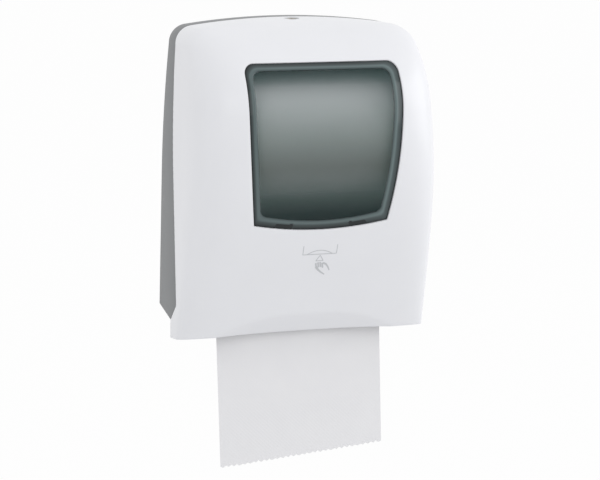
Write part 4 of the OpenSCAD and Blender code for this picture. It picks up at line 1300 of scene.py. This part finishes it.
@dataclass
class TowelSheets:
    """The towel: the web from the roll to the drum, the hanging tail and the wound roll."""

    casing: Casing
    finishes: Finishes
    half: float = 100 * MM
    rows: int = 90
    web_columns: int = 20
    web_depth: float = 74.6 * MM
    web_end: float = 8 * MM
    tail_depth: float = 75.5 * MM
    tail_top: float = 112 * MM
    left_end: float = -162.5 * MM
    right_end: float = -146 * MM
    drift: float = 4 * MM
    pitch: float = 6.67 * MM
    tooth_columns: int = 6
    tooth: float = 2.9 * MM
    ragged: float = 0.9 * MM
    thickness: float = 0.35 * MM
    curl: float = 0.16 * MM
    ripple: float = 0.06 * MM
    roll_depth: float = 95 * MM
    roll_z: float = 235 * MM
    roll_r: float = 80 * MM
    roll_bore: float = 21.6 * MM
    roll_layers: int = 26
    roll_bands: int = 16
    roll_steps: int = 120
    layer_step: float = 0.5 * MM
    roll_round: float = 1.2 * MM
    guide_depth: float = 80.1 * MM
    guide_z: float = 115 * MM
    guide_steps: int = 12
    paper_gap: float = 0.7 * MM
    sharp_deg: float = 60.0
    roll_sharp_deg: float = 50.0

    def build(self) -> None:
        """Builds the three paper pieces."""
        self.build_roll()
        self.build_web()
        self.build_tail()

    def sheet(self, name: str, bm: BMesh, body: str, node: str) -> Object:
        """Gives a flat sheet its thickness and rides it on its body.

        Args:
            name: The piece's name.
            bm: The sheet.
            body: The CAD body that it moves with.
            node: The CAD node that it stands for.

        Returns:
            The object.
        """
        bmesh.ops.recalc_face_normals(bm, faces=bm.faces)
        bmesh.ops.solidify(bm, geom=bm.faces[:], thickness=self.thickness)
        piece = finish_piece(name, bm, [self.finishes.paper], self.sharp_deg)
        return settle(piece, body, [node])

    def torn_edge(self, place: float) -> float:
        """How far the torn edge stands up from its lowest line at a place across, from 0 to 1.

        Args:
            place: Share of the width, from the left.

        Returns:
            Height of the edge: teeth of uneven depth, and ragged where the tear began at the left.
        """
        tooth, phase = divmod(place * 2 * self.half / self.pitch, 1.0)
        uneven = 0.68 + 0.32 * math.sin(2.3 * tooth) * math.cos(1.1 * tooth)
        ragged = self.ragged * math.exp(-place / 0.07) * math.sin(40 * place)
        return self.tooth * uneven * abs(2 * phase - 1) + ragged

    def build_tail(self) -> None:
        """Builds the hanging tail with its torn lower edge and a slight curl."""
        bm = bmesh.new()
        columns = self.tooth_columns * round(2 * self.half / self.pitch)
        for vert, i, j in lay_grid(bm, columns, self.rows):
            u, v = i / columns, 1 - j / self.rows
            end = self.left_end + (self.right_end - self.left_end) * u + self.torn_edge(u)
            z = self.tail_top + (end - self.tail_top) * v
            fall = max(0.0, -z) / -self.left_end
            x = -self.half + 2 * self.half * u + self.drift * fall
            swell = self.curl * fall ** 1.5 * (0.75 + math.sin(math.pi * (u * 1.15 + 0.1)))
            swell += self.ripple * fall * (1 + math.sin(2 * math.pi * (2.3 * u + 0.4 * fall)))
            vert.co = self.casing.at(x, self.tail_depth + swell - self.thickness / 2, z)
        piece = self.sheet("hanging_towel", bm, "towel", "towel_tail")
        self.casing.at(0.0, self.tail_depth, self.tail_top)
        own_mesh(piece)

    def web_line(self) -> List[Pair]:
        """Depth and height along the web: off the roll's front, round the guide bar, down past the drum."""
        bend, reach = self.guide_depth - self.web_depth, self.roll_r + self.paper_gap
        run = (self.guide_depth - self.roll_depth, self.guide_z - self.roll_z)
        lean = math.atan2(run[1], run[0]) - math.asin((reach + bend) / math.hypot(*run))
        normal = (-math.sin(lean), math.cos(lean))
        line = [(self.roll_depth + normal[0] * reach, self.roll_z + normal[1] * reach)]
        start = math.atan2(-normal[1], -normal[0]) % (2 * math.pi)
        for i in range(self.guide_steps + 1):
            angle = start + (math.pi - start) * i / self.guide_steps
            line.append((self.guide_depth + bend * math.cos(angle), self.guide_z + bend * math.sin(angle)))
        line.append((self.web_depth, self.web_end))
        return line

    def build_web(self) -> None:
        """Builds the web that feeds the drum."""
        line = self.web_line()
        places = evenly(line, self.rows)
        bm = bmesh.new()
        for vert, _, j in lay_grid(bm, self.web_columns, self.rows):
            vert.co = self.casing.at(vert.co.x * self.half, *places[self.rows - j])
        piece = self.sheet("towel_feed_web", bm, "housing", "towel_web")

    def build_roll(self) -> None:
        """Builds the wound roll by turning its stepped profile round the roll's axis."""
        bm = bmesh.new()
        deep, n, bands = self.roll_r - self.roll_bore, self.roll_layers, self.roll_bands
        right = [(self.half - self.layer_step * (i % 2), self.roll_bore + deep * i / n) for i in range(n)]
        edge = self.half - self.roll_round
        right.append((edge, self.roll_r))
        across = [(-edge + 2 * edge * i / bands, self.roll_r) for i in range(1, bands)]
        profile = [(-x, r) for x, r in right] + across + right[::-1]
        points = [self.casing.at(x, self.roll_depth + r, self.roll_z) for x, r in profile]
        centre = self.casing.at(0.0, self.roll_depth, self.roll_z)
        spin_profile(bm, points, centre, (1.0, 0.0, 0.0), self.roll_steps)
        bmesh.ops.recalc_face_normals(bm, faces=bm.faces)
        piece = finish_piece("towel_roll_wound", bm, [self.finishes.paper], self.roll_sharp_deg)
        settle(piece, "roll", ["towel_roll"])


@dataclass
class PullSign:
    """The printed sign on the cover: a slot bracket, an arrow and a hand that pulls a sheet."""

    casing: Casing
    finishes: Finishes
    centre_x: float = 3 * MM
    slot_half: float = 20 * MM
    slot_z: float = 101 * MM
    slot_rise: float = 11 * MM
    arch_half: float = 15 * MM
    arch_rise: float = 4.8 * MM
    arch_steps: int = 20
    line_w: float = 0.9 * MM
    line_step: float = 1.2 * MM
    ink: float = 0.12 * MM
    arrow_x: float = 4 * MM
    arrow_z: float = 99.6 * MM
    arrow_half: float = 4.4 * MM
    arrow_drop: float = 7.0 * MM
    hand_gap: float = 1.4 * MM

    def build(self) -> Object:
        """Builds the sign as thin ink on the cover's face."""
        bm = bmesh.new()
        left, right = self.centre_x - self.slot_half, self.centre_x + self.slot_half
        low, high = self.slot_z, self.slot_z + self.slot_rise
        tip, base = (self.arrow_x, self.arrow_z), self.arrow_z - self.arrow_drop
        bracket = [(left, high), (left, low), (right, low), (right, high)]
        arrow = [tip, (self.arrow_x - self.arrow_half, base), (self.arrow_x + self.arrow_half, base), tip]
        turns = [math.pi * i / self.arch_steps for i in range(self.arch_steps + 1)]
        arch = [(self.centre_x + self.arch_half * math.cos(turn), low + self.arch_rise * math.sin(turn) ** 2)
                for turn in turns]
        for line in (*zip(bracket, bracket[1:]), arch, *zip(arrow, arrow[1:])):
            self.stroke(bm, line, self.line_w)
        self.hand(bm)
        piece = finish_piece("pull_sign_print", bm, [self.finishes.print_grey])
        return settle(piece, "cover")

    def stroke(self, bm: BMesh, line: Sequence[Pair], width: float, end_width: float = 0.0) -> None:
        """Draws a line of ink on the cover's face.

        Args:
            bm: The mesh.
            line: x and height of its points.
            width: Width of the line.
            end_width: Width that it tapers to, where that differs.
        """
        steps = max(2, int(sum(math.dist(a, b) for a, b in zip(line, line[1:])) / self.line_step))
        places = evenly(line, steps)
        for vert, i, _ in lay_grid(bm, steps, 1):
            a, b = places[max(0, i - 1)], places[min(steps, i + 1)]
            reach = vert.co.y * (width + ((end_width or width) - width) * i / steps) / 2 / math.dist(a, b)
            x, z = places[i][0] + (b[1] - a[1]) * reach, places[i][1] - (b[0] - a[0]) * reach
            vert.co = self.casing.on_face(x, z, self.ink)

    def hand(self, bm: BMesh) -> None:
        """Draws a plain hand whose fingertips pinch the towel below the arrow."""
        x, z = self.arrow_x, self.arrow_z - self.arrow_drop - self.hand_gap

        def at(points: Sequence[Pair]) -> List[Pair]:
            """Places points of the hand given in millimetres from its fingertips."""
            return [(x + dx * MM, z + dz * MM) for dx, dz in points]

        for dx in (-4.0, -1.5, 1.0, 3.5):
            drop = 0.35 * abs(dx)
            self.stroke(bm, at([(dx, -drop), (dx + 1.6, -6.4 - drop)]), 1.9 * MM)
        self.stroke(bm, at([(-3.0, -6.0), (-0.6, -9.4), (3.6, -13.2), (8.4, -16.2)]), 3.0 * MM, 1.2 * MM)
        self.stroke(bm, at([(4.6, -1.6), (8.2, -3.0), (11.0, -6.4), (13.4, -11.2)]), 2.6 * MM, 1.2 * MM)


class Mechanism:
    """The CAD pieces that keep their own shape, each with its slot's finish."""

    def __init__(self, frame: dict, finishes: Finishes) -> None:
        """Keeps the frame and the finishes."""
        self.frame = frame
        self.finishes = finishes

    def dress(self) -> None:
        """Gives every CAD node the material of its slot."""
        for row in self.frame["record"]["subparts"]:
            node = self.frame["nodes"][row["node"]]
            node.data.materials.clear()
            node.data.materials.append(self.finishes.of_slot(row["material_slot"]))
        LOG.info("dressed %d CAD nodes", len(self.frame["nodes"]))


@dataclass
class Studio:
    """A pale floor, a white surround, soft lamps and the camera of the photograph."""

    target: Triple = (-0.00281, -0.09003, -0.12709)
    azimuth_deg: float = 17.0
    elevation_deg: float = 9.98
    distance: float = 2.2942
    focal_px: float = 1981.4
    frame_px: int = 600
    sensor_mm: float = 36.0
    floor_z: float = -0.80
    floor_half: float = 30.0
    floor_shown: float = 0.96
    surround: float = 0.85
    white: str = "#FFFFFF"

    def build(self) -> None:
        """Sets up floor, world, lamps and camera."""
        bpy.context.scene.view_settings.view_transform = "Standard"
        self.lay_floor()
        self.set_world()
        self.add_lamp("key_panel", (2.35, -0.85, 0.65), 2.2, 23.5)
        self.add_lamp("fill_panel", (-1.3, -2.0, 0.8), 1.8, 7.0)
        self.aim_camera()

    def seen_share(self, tree: NodeTree, share: float) -> NodeSocket:
        """Adds what tells seen rays from lighting rays.

        Args:
            tree: The node tree.
            share: How much of the white shows to seen rays.

        Returns:
            A value that is the share for seen rays and 0 for the rest.
        """
        path = put(tree, "ShaderNodeLightPath")
        seen = path.outputs["Is Camera Ray"]
        for kind in ("Is Glossy Ray", "Is Transmission Ray"):
            seen = put(tree, "ShaderNodeMath", {"operation": "MAXIMUM"},
                       links={0: seen, 1: path.outputs[kind]}).outputs[0]
        return put(tree, "ShaderNodeMath", {"operation": "MULTIPLY"}, {1: share}, {0: seen}).outputs[0]

    def lay_floor(self) -> None:
        """Lays a wide pale floor that shows white and keeps the object's shadow."""
        bm = bmesh.new()
        bmesh.ops.create_grid(bm, x_segments=2, y_segments=2, size=self.floor_half)
        bmesh.ops.translate(bm, verts=bm.verts, vec=(0.0, 0.0, self.floor_z))
        recipe = Recipe("pale_floor")
        matt = put(recipe.tree, "ShaderNodeBsdfDiffuse", inputs={"Color": linear("#E2E2E2")})
        glow = put(recipe.tree, "ShaderNodeEmission", inputs={"Color": linear(self.white), "Strength": 1.0})
        shown = self.seen_share(recipe.tree, self.floor_shown)
        mix = put(recipe.tree, "ShaderNodeMixShader",
                  links={0: shown, 1: matt.outputs[0], 2: glow.outputs[0]})
        floor = finish_piece("studio_floor", bm, [recipe.close(mix)])

    def set_world(self) -> None:
        """Surrounds the scene with white for seen rays and a softer even light for the rest."""
        world = bpy.data.worlds.new("studio_surround")
        bpy.context.scene.world = world
        world.use_nodes = True
        tree = world.node_tree
        tree.nodes.clear()
        strength = put(tree, "ShaderNodeMapRange", inputs={"To Min": self.surround, "To Max": 1.0},
                       links={"Value": self.seen_share(tree, 1.0)})
        light = put(tree, "ShaderNodeBackground", inputs={"Color": linear(self.white)},
                    links={"Strength": strength.outputs[0]})
        put(tree, "ShaderNodeOutputWorld", links={"Surface": light.outputs[0]})

    def add_lamp(self, name: str, place: Triple, size: float, power: float) -> None:
        """Adds a square soft lamp that looks at the dispenser.

        Args:
            name: The lamp's name.
            place: Where it hangs.
            size: Length of its side in metres.
            power: Its power in watts.
        """
        data = bpy.data.lights.new(name, "AREA")
        data.shape, data.size, data.energy = "SQUARE", size, power
        lamp = add_object(name, data)
        lamp.location = place
        lamp.rotation_euler = (Vector(self.target) - Vector(place)).to_track_quat("-Z", "Y").to_euler()

    def aim_camera(self) -> None:
        """Places the camera at the photograph's angle and distance."""
        data = bpy.data.cameras.new("photo_camera")
        data.sensor_width = self.sensor_mm
        data.lens = self.focal_px / self.frame_px * self.sensor_mm
        camera = add_object("photo_camera", data)
        side, up = math.radians(self.azimuth_deg), math.radians(self.elevation_deg)
        look = Vector((math.sin(side) * math.cos(up), math.cos(side) * math.cos(up), -math.sin(up)))
        camera.location = Vector(self.target) - look * self.distance
        camera.rotation_euler = look.to_track_quat("-Z", "Y").to_euler()
        bpy.context.scene.camera = camera


def main() -> None:
    """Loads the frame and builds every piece."""
    logging.basicConfig(level=logging.INFO, format="%(name)s: %(message)s")
    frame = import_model()
    Studio().build()
    finishes = Finishes()
    casing, window = Casing.from_frame(), WindowForm()
    Mechanism(frame, finishes).dress()
    FrontCover(casing, window, finishes).build()
    WindowPane(casing, window, finishes).build()
    BackHousing(casing, finishes).build()
    TowelSheets(casing, finishes).build()
    PullSign(casing, finishes).build()


if __name__ == "__main__":
    main()
